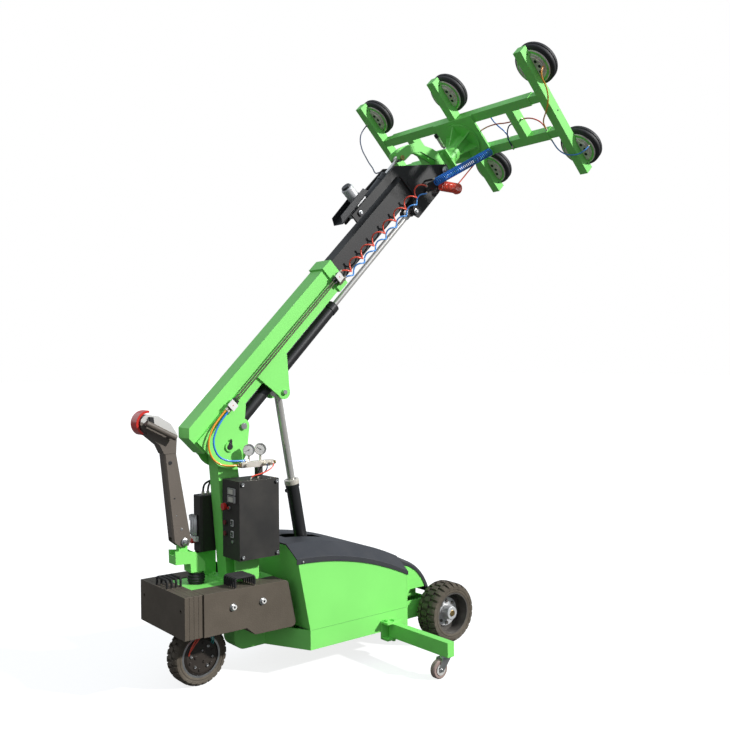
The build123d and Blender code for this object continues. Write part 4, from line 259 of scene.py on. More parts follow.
class Effect(Enum):
    """The shader groups that several finishes share."""

    MOTTLE = "mottle"
    EDGES = "edges"
    DUST = "floor_dust"

    def put(self, graph: Graph, **inputs: float) -> bpy.types.bpy_prop_collection:
        """Add the group to a graph, its inputs by name with _ for a space, and return its outputs."""
        tree = bpy.data.node_groups.get(self.value)
        if tree is None:
            tree = bpy.data.node_groups.new(self.value, "ShaderNodeTree")
            makers = {Effect.MOTTLE: self.fill_mottle, Effect.EDGES: self.fill_edges,
                      Effect.DUST: self.fill_dust}
            makers[self](tree)
        named = {name.replace("_", " "): value for name, value in inputs.items()}
        return graph.add("ShaderNodeGroup", named, node_tree=tree).outputs

    def sockets(self, tree: bpy.types.NodeTree, inputs: Pairs, outputs: Pairs) -> tuple:
        """Name a group's sockets and return its graph, its given values and its output node."""
        for name, value in inputs:
            socket = tree.interface.new_socket(name, in_out="INPUT", socket_type="NodeSocketFloat")
            socket.default_value = value
        for name, kind in outputs:
            tree.interface.new_socket(name, in_out="OUTPUT", socket_type=f"NodeSocket{kind}")
        graph = Graph(tree)
        return graph, graph.add("NodeGroupInput").outputs, graph.add("NodeGroupOutput")

    def fill_mottle(self, tree: bpy.types.NodeTree) -> None:
        """Uneven colour in broad clouds, and a fine grain, from noise on Object coordinates."""
        inputs = [("Cloud Scale", 4.0), ("Grain Scale", 300.0)]
        graph, given, out = self.sockets(tree, inputs, [("Cloud", "Float"), ("Grain", "Float")])
        cloud = graph.ramp(graph.noise(given[0], 5.0), 0.35, 0.68)
        graph.feed(out, {0: cloud, 1: graph.noise(given[1], 3.0)})

    def fill_edges(self, tree: bpy.types.NodeTree) -> None:
        """A normal rounded over sharp edges, and a mask of how far it leaves the flat one."""
        outputs = [("Normal", "Vector"), ("Edge", "Float")]
        graph, given, out = self.sockets(tree, [("Radius", 0.0015)], outputs)
        rounded = graph.add("ShaderNodeBevel", {"Radius": given[0]}, samples=4).outputs[0]
        flat = graph.add("ShaderNodeNewGeometry").outputs["Normal"]
        meet = graph.add("ShaderNodeVectorMath", {0: rounded, 1: flat}, operation="DOT_PRODUCT")
        graph.feed(out, {0: rounded, 1: graph.ramp(meet.outputs["Value"], 0.99, 0.8)})

    def fill_dust(self, tree: bpy.types.NodeTree) -> None:
        """Dust that thins out upwards from the floor, in patches."""
        graph, given, out = self.sockets(tree, [("Amount", 0.5), ("Height", 0.5)], [("Mask", "Float")])
        rise = graph.ramp(graph.height(), 0.0, given[1], (1.0, 0.0))
        mask = graph.math("MULTIPLY", rise, graph.ramp(graph.noise(11.0, 6.0), 0.3, 0.75))
        graph.feed(out, {0: graph.math("MULTIPLY", mask, given[0])})


@dataclass(frozen=True)
class Finish:
    """A surface finish: colour with clouds of a second one, grain, edges in a second colour and floor dust. The
    edge colour is real wear on most finishes and a painted highlight on the lime paint.
    """

    name: str
    colour: Colour
    cloud: Colour
    roughness: float
    metallic: float = 0.0
    cloud_scale: float = 3.0
    grain_scale: float = 260.0
    grain: float = 0.08
    spread: float = 0.12
    edge_radius: float = 0.0015
    # Amount and colour of the edge marks: real wear on most finishes, a painted edge highlight on the lime paint.
    edge_wear_and_highlight: float = 0.3
    edge_wear_and_highlight_colour: Colour = (0.5, 0.5, 0.48)
    dust: float = 0.0
    dust_height: float = 0.5
    dust_colour: Colour = (0.24, 0.21, 0.17)
    coat: float = 0.0
    coat_roughness: float = 0.15
    bump_depth: float = 0.002
    dark_above: float = 0.0
    dark_colour: Colour = (0.012, 0.011, 0.011)

    def material(self) -> bpy.types.Material:
        """The finish as a Blender material, made once."""
        label = f"{self.name}_finish"
        made = bpy.data.materials.get(label)
        if made is not None:
            return made
        made = bpy.data.materials.new(label)
        made.use_nodes = True
        made.diffuse_color = (*self.colour, 1.0)
        graph = Graph(made.node_tree)
        mottle = Effect.MOTTLE.put(graph, Cloud_Scale=self.cloud_scale, Grain_Scale=self.grain_scale)
        edges = Effect.EDGES.put(graph, Radius=self.edge_radius)
        grain = mottle["Grain"]
        # Edge marks: worn edges on most finishes; on the lime paint a lighter green, which is a painted edge
        # highlight.
        edge_wear_and_highlight_mask = graph.math("MULTIPLY", graph.math("MULTIPLY", edges["Edge"], grain), self.edge_wear_and_highlight)
        colour = graph.mix(edge_wear_and_highlight_mask, graph.mix(mottle["Cloud"], self.colour, self.cloud), self.edge_wear_and_highlight_colour)
        if self.dust:
            dust = Effect.DUST.put(graph, Amount=self.dust, Height=self.dust_height)
            colour = graph.mix(dust["Mask"], colour, self.dust_colour)
        if self.dark_above:
            above = graph.math("GREATER_THAN", graph.height(), self.dark_above)
            colour = graph.mix(above, colour, self.dark_colour)
        bump = graph.add("ShaderNodeBump", {
            "Height": grain, "Normal": edges["Normal"], "Strength": self.grain, "Distance": self.bump_depth})
        graph.feed(made.node_tree.nodes["Principled BSDF"], {
            "Base Color": colour,
            "Roughness": graph.math("MULTIPLY_ADD", grain, self.spread, self.roughness - self.spread / 2),
            "Normal": bump.outputs[0],
            "Metallic": self.metallic,
            "Coat Weight": self.coat,
            "Coat Roughness": self.coat_roughness})
        return made


# The lighter green on this paint's edges is a painted edge highlight, not wear.
GREEN = Finish("lime_paint", (0.235, 0.78, 0.155), (0.215, 0.72, 0.140), 0.5, grain=0.04, grain_scale=140.0,
               edge_wear_and_highlight_colour=(0.36, 0.85, 0.26), dust=0.2, dust_height=0.25)
SEAM = Finish("seam_shadow", (0.120, 0.470, 0.085), (0.110, 0.430, 0.078), 0.6, grain=0.03, edge_wear_and_highlight=0.0)
DARK_PAINT = Finish("dark_paint", (0.016, 0.015, 0.0145), (0.024, 0.022, 0.020), 0.6, edge_wear_and_highlight=0.5,
                    edge_wear_and_highlight_colour=(0.34, 0.31, 0.27))
MOTOR_BLACK = Finish("motor_black", (0.024, 0.018, 0.014), (0.036, 0.028, 0.022), 0.45, edge_wear_and_highlight=0.4,
                     edge_wear_and_highlight_colour=(0.22, 0.19, 0.16))
TILLER = Finish("tiller_coating", (0.105, 0.086, 0.068), (0.130, 0.107, 0.086), 0.55, grain=0.2, edge_wear_and_highlight=0.4,
                edge_wear_and_highlight_colour=(0.26, 0.23, 0.20))
CYLINDER = Finish("cylinder_black", (0.012, 0.012, 0.013), (0.022, 0.021, 0.021), 0.34, edge_wear_and_highlight=0.4, coat=0.2)
COVER = Finish("cover_moulding", (0.020, 0.022, 0.028), (0.028, 0.030, 0.037), 0.55, grain=0.2,
               grain_scale=420.0, edge_wear_and_highlight=0.2, dust=0.15, dust_height=0.9)
IRON = Finish("ballast_iron", (0.080, 0.063, 0.044), (0.098, 0.078, 0.056), 0.75, grain=0.4,
              grain_scale=150.0, cloud_scale=9.0, edge_radius=0.003, edge_wear_and_highlight=0.5, edge_wear_and_highlight_colour=(0.20, 0.17, 0.14),
              dark_above=0.5125)
BOX_BLACK = Finish("box_coating", (0.018, 0.016, 0.013), (0.026, 0.023, 0.019), 0.6, grain=0.22,
                   grain_scale=380.0, edge_wear_and_highlight=0.5, edge_wear_and_highlight_colour=(0.24, 0.22, 0.20))
LID = Finish("lid_coating", (0.009, 0.008, 0.007), (0.026, 0.023, 0.019), 0.66, grain=0.2, grain_scale=380.0,
             cloud_scale=7.0, edge_wear_and_highlight=0.5, edge_wear_and_highlight_colour=(0.26, 0.24, 0.21))
CAST = Finish("cast_hub", (0.84, 0.79, 0.71), (0.60, 0.54, 0.46), 0.42, metallic=0.1, cloud_scale=34.0,
              grain=0.1, edge_wear_and_highlight=0.2, edge_wear_and_highlight_colour=(0.85, 0.82, 0.76))
ZINC = Finish("zinc_plate", (0.66, 0.66, 0.65), (0.50, 0.50, 0.50), 0.34, metallic=1.0, grain=0.05,
              cloud_scale=30.0, edge_radius=0.0006, edge_wear_and_highlight=0.2, edge_wear_and_highlight_colour=(0.9, 0.9, 0.9))
CHROME = Finish("hard_chrome", (0.86, 0.83, 0.78), (0.74, 0.71, 0.66), 0.16, metallic=0.7, grain=0.01,
                spread=0.06, edge_radius=0.0006, edge_wear_and_highlight=0.0)
NICKEL = Finish("nickel_plate", (0.84, 0.79, 0.70), (0.66, 0.60, 0.50), 0.32, metallic=0.45, cloud_scale=25.0,
                grain=0.04, edge_radius=0.0006, edge_wear_and_highlight=0.2, edge_wear_and_highlight_colour=(0.9, 0.86, 0.78))
BRASS = Finish("brass", (0.68, 0.48, 0.20), (0.50, 0.34, 0.14), 0.3, metallic=1.0, cloud_scale=30.0,
               grain=0.04, edge_radius=0.0005, edge_wear_and_highlight=0.2, edge_wear_and_highlight_colour=(0.9, 0.75, 0.45))
ALLOY = Finish("cast_alloy", (0.70, 0.70, 0.70), (0.54, 0.54, 0.54), 0.42, metallic=0.45, grain=0.25,
               grain_scale=500.0, cloud_scale=18.0, edge_radius=0.0008, edge_wear_and_highlight_colour=(0.85, 0.85, 0.85))
PIPE = Finish("olive_pipe", (0.16, 0.145, 0.10), (0.10, 0.09, 0.065), 0.35, metallic=0.6, grain=0.05)
RUBBER = Finish("black_rubber", (0.014, 0.014, 0.015), (0.024, 0.023, 0.023), 0.62, grain=0.25,
                grain_scale=420.0, edge_wear_and_highlight_colour=(0.07, 0.07, 0.07))
TYRE = Finish("tyre_rubber", (0.064, 0.051, 0.035), (0.086, 0.068, 0.047), 0.85, grain=0.3, grain_scale=300.0,
              cloud_scale=14.0, edge_wear_and_highlight=0.5, edge_wear_and_highlight_colour=(0.20, 0.17, 0.13), dust=0.4)
RIM = Finish("rim_paint", (0.030, 0.028, 0.027), (0.055, 0.050, 0.046), 0.5, edge_wear_and_highlight=0.5, dust=0.5,
             dust_height=0.45)
RED = Finish("red_plastic", (0.62, 0.028, 0.018), (0.52, 0.020, 0.014), 0.3, grain=0.03, edge_wear_and_highlight=0.2,
             edge_wear_and_highlight_colour=(0.8, 0.3, 0.25), coat=0.3)
DARK_RED = Finish("dark_red_plastic", (0.16, 0.012, 0.010), (0.12, 0.009, 0.008), 0.35, grain=0.03, edge_wear_and_highlight=0.0)
# Also used for painted shade: flat black discs standing for holes, pockets and sockets.
BLACK_PLASTIC_AND_SHADE = Finish("black_plastic", (0.014, 0.014, 0.015), (0.022, 0.022, 0.023), 0.4, grain=0.12,
                       grain_scale=500.0, edge_wear_and_highlight_colour=(0.08, 0.08, 0.08))
PALE_PLASTIC = Finish("pale_plastic", (0.56, 0.55, 0.52), (0.46, 0.45, 0.42), 0.42, grain=0.06, edge_wear_and_highlight=0.2,
                      edge_wear_and_highlight_colour=(0.7, 0.7, 0.68), coat=0.1)
WHITE_PLASTIC = Finish("white_plastic", (0.74, 0.73, 0.70), (0.62, 0.61, 0.57), 0.4, grain=0.04, edge_wear_and_highlight=0.2,
                       edge_wear_and_highlight_colour=(0.85, 0.85, 0.83))
DISPLAY = Finish("display_window", (0.66, 0.63, 0.54), (0.52, 0.50, 0.43), 0.3, grain=0.01, edge_wear_and_highlight=0.0,
                 coat=0.5)
TREAD = Finish("caster_tread", (0.36, 0.26, 0.23), (0.27, 0.19, 0.165), 0.6, grain=0.1, dust=0.4)
HOSE_SKIN = {"roughness": 0.3, "grain": 0.03, "edge_wear_and_highlight": 0.0, "coat": 0.3}
WIRE_SKIN = {"roughness": 0.35, "grain": 0.03, "edge_wear_and_highlight": 0.0, "coat": 0.2}
ORANGE_LINE = Finish("orange_line", (0.85, 0.33, 0.02), (0.75, 0.25, 0.015), **HOSE_SKIN)
RED_LINE = Finish("red_line", (0.94, 0.115, 0.060), (0.86, 0.085, 0.045), **HOSE_SKIN)
BLUE_LINE = Finish("blue_line", (0.025, 0.22, 0.72), (0.018, 0.16, 0.58), **HOSE_SKIN)
SKY_LINE = Finish("pale_blue_line", (0.09, 0.33, 0.78), (0.06, 0.25, 0.66), **HOSE_SKIN)
NAVY_LINE = Finish("navy_line", (0.012, 0.035, 0.11), (0.009, 0.026, 0.08), **WIRE_SKIN)
CYAN_LINE = Finish("cyan_line", (0.02, 0.42, 0.40), (0.015, 0.34, 0.33), **WIRE_SKIN)
BLACK_LINE = Finish("black_line", (0.012, 0.012, 0.014), (0.020, 0.020, 0.022), 0.42, grain=0.1, edge_wear_and_highlight=0.0)

SLOT_FINISH: dict[str, Finish] = {
    "green_paint": GREEN, "black_paint": DARK_PAINT, "cover_black": COVER, "ballast_iron": IRON, "zinc": ZINC,
    "box_black": BOX_BLACK, "display_plastic": PALE_PLASTIC, "nickel": NICKEL, "battery_case": BLACK_PLASTIC_AND_SHADE,
    "pump_alloy": ALLOY, "black_rubber": RUBBER, "red_plastic": RED, "black_plastic": BLACK_PLASTIC_AND_SHADE,
    "motor_black": MOTOR_BLACK, "tyre_rubber": TYRE, "grey_plastic": PALE_PLASTIC, "rim_paint": RIM,
    "caster_tread": TREAD, "pipe_steel": PIPE, "rod_chrome": CHROME, "motor_alloy": ALLOY,
    "orange_hose": ORANGE_LINE, "red_hose": RED_LINE, "blue_hose": BLUE_LINE}
NODE_FINISH: dict[str, Finish] = {
    "tele_barrel": CYLINDER, "lift_barrel": CYLINDER, "tiller_arm": TILLER, "control_lid": LID}


def dress_nodes() -> None:
    """Give every CAD node its own finish, or else the one of its material slot."""
    for part in frame["record"]["subparts"]:
        finish = NODE_FINISH.get(part["node"], SLOT_FINISH[part["material_slot"]])
        mesh = frame["nodes"][part["node"]].data
        mesh.materials.clear()
        mesh.materials.append(finish.material())


class Shell:
    """Surfaces gathered into one mesh, each a grid of points with quads between neighbours."""

    def __init__(self) -> None:
        self.points: list[Points] = []
        self.faces: list[list[int]] = []
        self.count = 0

    def take(self, points: Points) -> Points:
        """Store points and return their numbers in the same layout."""
        size = points[..., 0].size
        numbers = self.count + np.arange(size).reshape(points.shape[:-1])
        self.points.append(points.reshape(-1, 3))
        self.count += size
        return numbers

    def grids(self, points: Points, wrap: bool = False) -> "Shell":
        """Add grids of points.

        Args:
            points: rows by columns of points, or many such grids at once.
            wrap: whether the columns close into a ring.

        Returns:
            The shell.
        """
        numbers = self.take(points.reshape(-1, *points.shape[-3:]))
        if wrap:
            numbers = np.concatenate([numbers, numbers[:, :, :1]], axis=2)
        corners = (numbers[:, :-1, :-1], numbers[:, :-1, 1:], numbers[:, 1:, 1:], numbers[:, 1:, :-1])
        self.faces += np.stack(corners, axis=-1).reshape(-1, 4).tolist()
        return self

    def caps(self, rings: Points) -> "Shell":
        """Close rings of points with one flat face each."""
        self.faces += self.take(rings).tolist()
        return self

    def turned(self, place: Place, profile: Pairs, at: tuple = (0.0, 0.0), sides: int = 40) -> "Shell":
        """Carry a profile round a place's outward axis: (u, v) + radius * (cos, sin), at each height.

        Args:
            place: the frame, turned about its third direction.
            profile: (height, radius) pairs.
            at: where the axis stands on the place.
            sides: steps round; six give a hexagon.

        Returns:
            The shell.
        """
        profile = np.asarray(profile, float)
        turn = 2 * pi * (np.arange(sides) + 0.5) / sides
        local = np.empty((len(profile), sides, 3))
        local[..., :2] = at + profile[:, None, 1:] * np.stack([np.cos(turn), np.sin(turn)], axis=-1)
        local[..., 2] = profile[:, :1]
        return self.grids(place.at(local), wrap=True)

    def prism(self, place: Place, outline: Pairs, low: float, high: float) -> "Shell":
        """Raise a flat outline of (u, v) pairs from one height to another, closed at both."""
        rings = np.empty((2, len(outline), 3))
        rings[..., :2] = np.asarray(outline, float)
        rings[..., 2] = np.array([[low], [high]])
        rings = place.at(rings)
        return self.grids(rings, wrap=True).caps(rings)

    def slab(self, place: Place, u: tuple, v: tuple, w: tuple) -> "Shell":
        """A rectangular block between spans along the three directions."""
        return self.prism(place, [(u[0], v[0]), (u[1], v[0]), (u[1], v[1]), (u[0], v[1])], *w)

    def surround(self, place: Place, centre: tuple, sections: list[tuple[float, float, float]]) -> "Shell":
        """A rectangular rim: sections of (half width, half height, level) round a centre, joined in order."""
        corners = np.array([(1, 1), (-1, 1), (-1, -1), (1, -1)], float)
        halves = np.asarray(sections, float)
        local = np.empty((len(sections), 4, 3))
        local[..., :2] = centre + corners * halves[:, None, :2]
        local[..., 2] = halves[:, 2:]
        return self.grids(place.at(local), wrap=True)

    def tube(self, path: Points, radius: float, sides: int = 10) -> "Shell":
        """Carry a circle along the model's path: path + radius * (cos * side + sin * up), square to it."""
        way = unit(np.gradient(path, axis=0))
        ways = list(itertools.product((-1.0, 0.0, 1.0), repeat=3))
        tries = unit(np.array(ways[: len(ways) // 2]))
        lean = np.abs(way @ tries.T).max(axis=0)
        side = unit(np.cross(way, tries[lean.argmin()]))
        up = np.cross(side, way)
        turn = 2 * pi * np.arange(sides) / sides
        ring = np.cos(turn)[:, None] * side[:, None] + np.sin(turn)[:, None] * up[:, None]
        rings = path[:, None] + radius / MM * ring
        return self.grids(rings, wrap=True).caps(rings[[0, -1]])

    def ring(self, place: Place, radius: float, rise: float, at: tuple = (0.0, 0.0), hole: float = 0.0,
             sides: int = 32) -> "Shell":
        """A disc, or a ring round a hole, that is sunk a little in a place and has a small chamfer."""
        profile = [(-SINK, hole), (-SINK, radius), (0.75 * rise, radius), (rise, 0.95 * radius), (rise, hole)]
        if hole:
            profile.append(profile[0])
        return self.turned(place, profile, at, sides)

    def hex_bolt(self, place: Place, size: float) -> "Shell":
        """A hexagon head with a chamfered top on a washer; size is the head's radius."""
        base = 0.22 * size
        rim = 1.75 * size
        washer = [(0.0, 0.0), (0.0, rim), (0.8 * base, rim), (base, 0.96 * rim), (base, 0.0)]
        top = base + 0.8 * size
        head = [(base, 0.0), (base, size), (top - 0.14 * size, size), (top, 0.84 * size), (top, 0.0)]
        return self.turned(place, washer, sides=28).turned(place, head, sides=6)

    def cap_screw(self, place: Place, size: float) -> "Shell":
        """A round screw head with a socket in its top; size is the head's radius."""
        rise = 0.9 * size
        head = [(0.0, 0.0), (0.0, size), (0.8 * rise, size), (rise, 0.85 * size), (rise, 0.5 * size),
                (0.45 * rise, 0.46 * size), (0.45 * rise, 0.0)]
        return self.turned(place, head, sides=18)

    def build(self, name: str, finish: Finish, body: str = "", sharp: float = 35.0) -> bpy.types.Object:
        """Make the mesh object.

        Args:
            name: the piece's name.
            finish: its surface.
            body: the CAD body that it rides on; empty leaves it unattached.
            sharp: the angle in degrees past which an edge is sharp.

        Returns:
            The object, its place in its mesh.
        """
        mesh = bpy.data.meshes.new(name)
        mesh.from_pydata(np.concatenate(self.points).tolist(), [], self.faces)
        work = bmesh.new()
        work.from_mesh(mesh)
        bmesh.ops.remove_doubles(work, verts=work.verts, dist=WELD)
        bmesh.ops.recalc_face_normals(work, faces=work.faces)
        work.to_mesh(mesh)
        work.free()
        mesh.shade_smooth()
        mesh.set_sharp_from_angle(angle=radians(sharp))
        mesh.materials.append(finish.material())
        piece = show(name, mesh)
        if body:
            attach(piece, body)
        log.info("%s: %d faces on %s", name, len(mesh.polygons), body or "two bodies")
        return piece


@dataclass
class Studio:
    """The floor, the lamps, the world and the photograph's camera."""

    stand: tuple = (-3.0922, -3.956, 1.626)
    yaw: float = 39.0
    pitch: float = -0.5
    roll: float = -0.47
    focal_pixels: float = 882.0
    image_pixels: float = 730.0
    sensor: float = 36.0
    sight: float = 200.0
    lamp_stand: tuple = (0.0, 0.0, 6.0)
    lamps: tuple = (("key", (0.5, -0.707, 0.5), 4.1, 2.5), ("fill", (-0.25, 0.85, 0.35), 0.25, 40.0))
    horizon: Colour = (0.27, 0.28, 0.29)
    zenith: Colour = (0.66, 0.74, 0.84)
    floor_half: float = 60.0
    floor_lit: Colour = (0.13, 0.13, 0.13)
    floor_seen: Colour = (0.30, 0.30, 0.30)
    floor_glow: float = 0.82

    def build(self) -> None:
        """Set the whole stage."""
        self.place_camera()
        self.lay_floor()
        for lamp in self.lamps:
            self.hang_lamp(*lamp)
        self.light_world()
        bpy.context.scene.view_settings.view_transform = "Standard"

    def place_camera(self) -> None:
        """A camera from its yaw, pitch and roll: right, up and backwards as the columns of its turn."""
        yaw, pitch, roll = radians(self.yaw), radians(self.pitch), radians(self.roll)
        ahead = np.array((sin(yaw) * cos(pitch), cos(yaw) * cos(pitch), sin(pitch)))
        level = np.array((cos(yaw), -sin(yaw), 0.0))
        lifted = np.cross(level, ahead)
        right = level * cos(roll) + lifted * sin(roll)
        up = lifted * cos(roll) - level * sin(roll)
        data = bpy.data.cameras.new("photo_view")
        data.sensor_width = self.sensor
        data.lens = self.focal_pixels / self.image_pixels * self.sensor
        data.clip_end = self.sight
        camera = show("photo_view", data)
        camera.matrix_world = stance([right, up, -ahead], self.stand)
        bpy.context.scene.camera = camera

    def lay_floor(self) -> None:
        """A wide floor that shows white to the camera and throws little light back."""
        half = self.floor_half
        corners = [(-half, -half, 0.0), (half, -half, 0.0), (half, half, 0.0), (-half, half, 0.0)]
        mesh = bpy.data.meshes.new("studio_floor")
        mesh.from_pydata(corners, [], [(0, 1, 2, 3)])
        material = bpy.data.materials.new("studio_floor")
        material.use_nodes = True
        graph = Graph(material.node_tree)
        seen = graph.camera_ray()
        graph.feed(material.node_tree.nodes["Principled BSDF"], {
            "Roughness": 0.9,
            "Specular IOR Level": 0.0,
            "Emission Color": (*WHITE, 1.0),
            "Base Color": graph.mix(seen, self.floor_lit, self.floor_seen),
            "Emission Strength": graph.math("MULTIPLY", seen, self.floor_glow)})
        mesh.materials.append(material)
        show("studio_floor", mesh)

    def hang_lamp(self, name: str, come_from: tuple, strength: float, spread: float) -> None:
        """A soft distant lamp that shines from a direction; spread is its width in degrees."""
        data = bpy.data.lights.new(name, "SUN")
        data.energy = strength
        data.angle = radians(spread)
        turn = Place.facing(self.lamp_stand, come_from)
        show(name, data).matrix_world = stance([turn.u, turn.v, turn.w], turn.origin)

    def light_world(self) -> None:
        """A white world to the camera, and as light a sky that brightens from the horizon up."""
        world = bpy.data.worlds.new("studio")
        world.use_nodes = True
        bpy.context.scene.world = world
        graph = Graph(world.node_tree)
        rise = graph.math("MAXIMUM", graph.height("Generated"), 0.0)
        shown = graph.mix(graph.camera_ray(), graph.mix(rise, self.horizon, self.zenith), WHITE)
        graph.feed(world.node_tree.nodes["Background"], {"Color": shown})


def smooth_route(control: Points, steps: int) -> Points:
    """Points along the smooth line that a route's control points give.

    Args:
        control: the route's control points.
        steps: points between two control points.

    Returns:
        The points in order.
    """
    curve = bpy.data.curves.new("route", "CURVE")
    curve.dimensions = "3D"
    spline = curve.splines.new("NURBS")
    spline.points.add(len(control) - 1)
    spline.points.foreach_set("co", np.c_[control, np.ones(len(control))].ravel())
    spline.order_u = 3
    spline.use_endpoint_u = True
    spline.resolution_u = steps
    carrier = bpy.data.objects.new("route", curve)
    mesh = bpy.data.meshes.new_from_object(carrier)
    points = mesh_points(mesh)
    bpy.data.objects.remove(carrier)
    bpy.data.curves.remove(curve)
    bpy.data.meshes.remove(mesh)
    return points


@dataclass
class Hose:
    """An air line, cable or wire along a smooth route, carried by one body, or left unattached where a stretch
    runs between two.
    """

    name: str
    route: Points
    radius: float
    finish: Finish
    bodies: tuple[str, ...]
    stands_for: str = ""
    cuts: tuple = ()
    coiled: bool = False
    collars: bool = True

    def build(self, fittings: dict[str, Shell]) -> None:
        """Sweep each stretch as a tube and put a collar on both ends.

        Args:
            fittings: the collars gathered so far, by body.
        """
        lay, steps = ("coiled", 3) if self.coiled else ("hanging", 8)
        line = smooth_route(self.route, steps)
        near = [int(np.linalg.norm(line - cut, axis=1).argmin()) for cut in self.cuts]
        marks = [0, *near, len(line) - 1]
        for i, (first, last) in enumerate(zip(marks, marks[1:])):
            path = line[first : last + 1]
            name = self.name if len(marks) == 2 else f"{self.name}_{i + 1}"
            piece = Shell().tube(path, self.radius).build(name, self.finish, sharp=60.0)
            pair = self.bodies[i : i + 2]
            if len(pair) == 2:
                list(pair)
                tuple(path[0])
                tuple(path[-1])
                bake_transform(piece)
            else:
                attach(piece, pair[0])
            if self.stands_for:
                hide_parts(self.stands_for)
            length = float(np.linalg.norm(np.diff(path, axis=0), axis=1).sum())
            tuple(path[0])
            [tuple(p) for p in path]
            log.info("%s: %.3f m", name, length)
        if self.collars:
            self.collar(fittings, self.bodies[0], line[0], line[1] - line[0])
            self.collar(fittings, self.bodies[-1], line[-1], line[-2] - line[-1])

    def collar(self, fittings: dict[str, Shell], body: str, at: Points, way: Points) -> None:
        """A push-in collar and its release ring at one end of the line, in shares of the line's radius."""
        up = (0.0, 1.0, 0.0) if abs(unit(way)[1]) < CROSSWISE else (1.0, 0.0, 0.0)
        shares = np.array([(0.0, 0.9), (0.0, 1.55), (1.9, 1.55), (2.0, 1.3), (2.5, 1.3), (2.6, 1.65),
                           (3.1, 1.65), (3.3, 1.02)])
        fittings.setdefault(body, Shell()).turned(Place.facing(at, way, up), self.radius * shares, sides=20)


def curl(start: tuple, end: tuple, coil_r: float, turns: float, radius: float) -> Points:
    """Control points of an evenly wound curl.

    The line turns about the straight from start to end, first upwards: start + share * (end - start)
    + coil_r * (cos * first + sin * second), with a short straight of two radii at each end.

    Args:
        start: the axis's near end along the boom.
        end: the axis's far end along the boom.
        coil_r: the middle radius of a turn.
        turns: how many turns.
        radius: the line's own radius.

    Returns:
        The control points in order, CURL_STEPS to a turn.
    """
    start, end = layout.boom.at([start, end])
    axis = end - start
    along = unit(axis)
    up = layout.boom.w
    first = unit(up - along * (up @ along))
    second = np.cross(along, first)
    turn = 2 * pi * turns * np.linspace(0.0, 1.0, round(CURL_STEPS * turns) + 1)
    widen = coil_r / MM / cos(pi / CURL_STEPS)
    ring = np.cos(turn)[:, None] * first + np.sin(turn)[:, None] * second
    line = start + (turn / turn[-1])[:, None] * axis + widen * ring
    climb = np.linalg.norm(axis) / (2 * pi * turns)
    ends = turn[[0, -1]]
    swing = np.cos(ends)[:, None] * second - np.sin(ends)[:, None] * first
    lead = 2 * radius / MM * unit(climb * along + coil_r / MM * swing)
    return np.vstack([line[0] - lead[0], line, line[-1] + lead[1]])


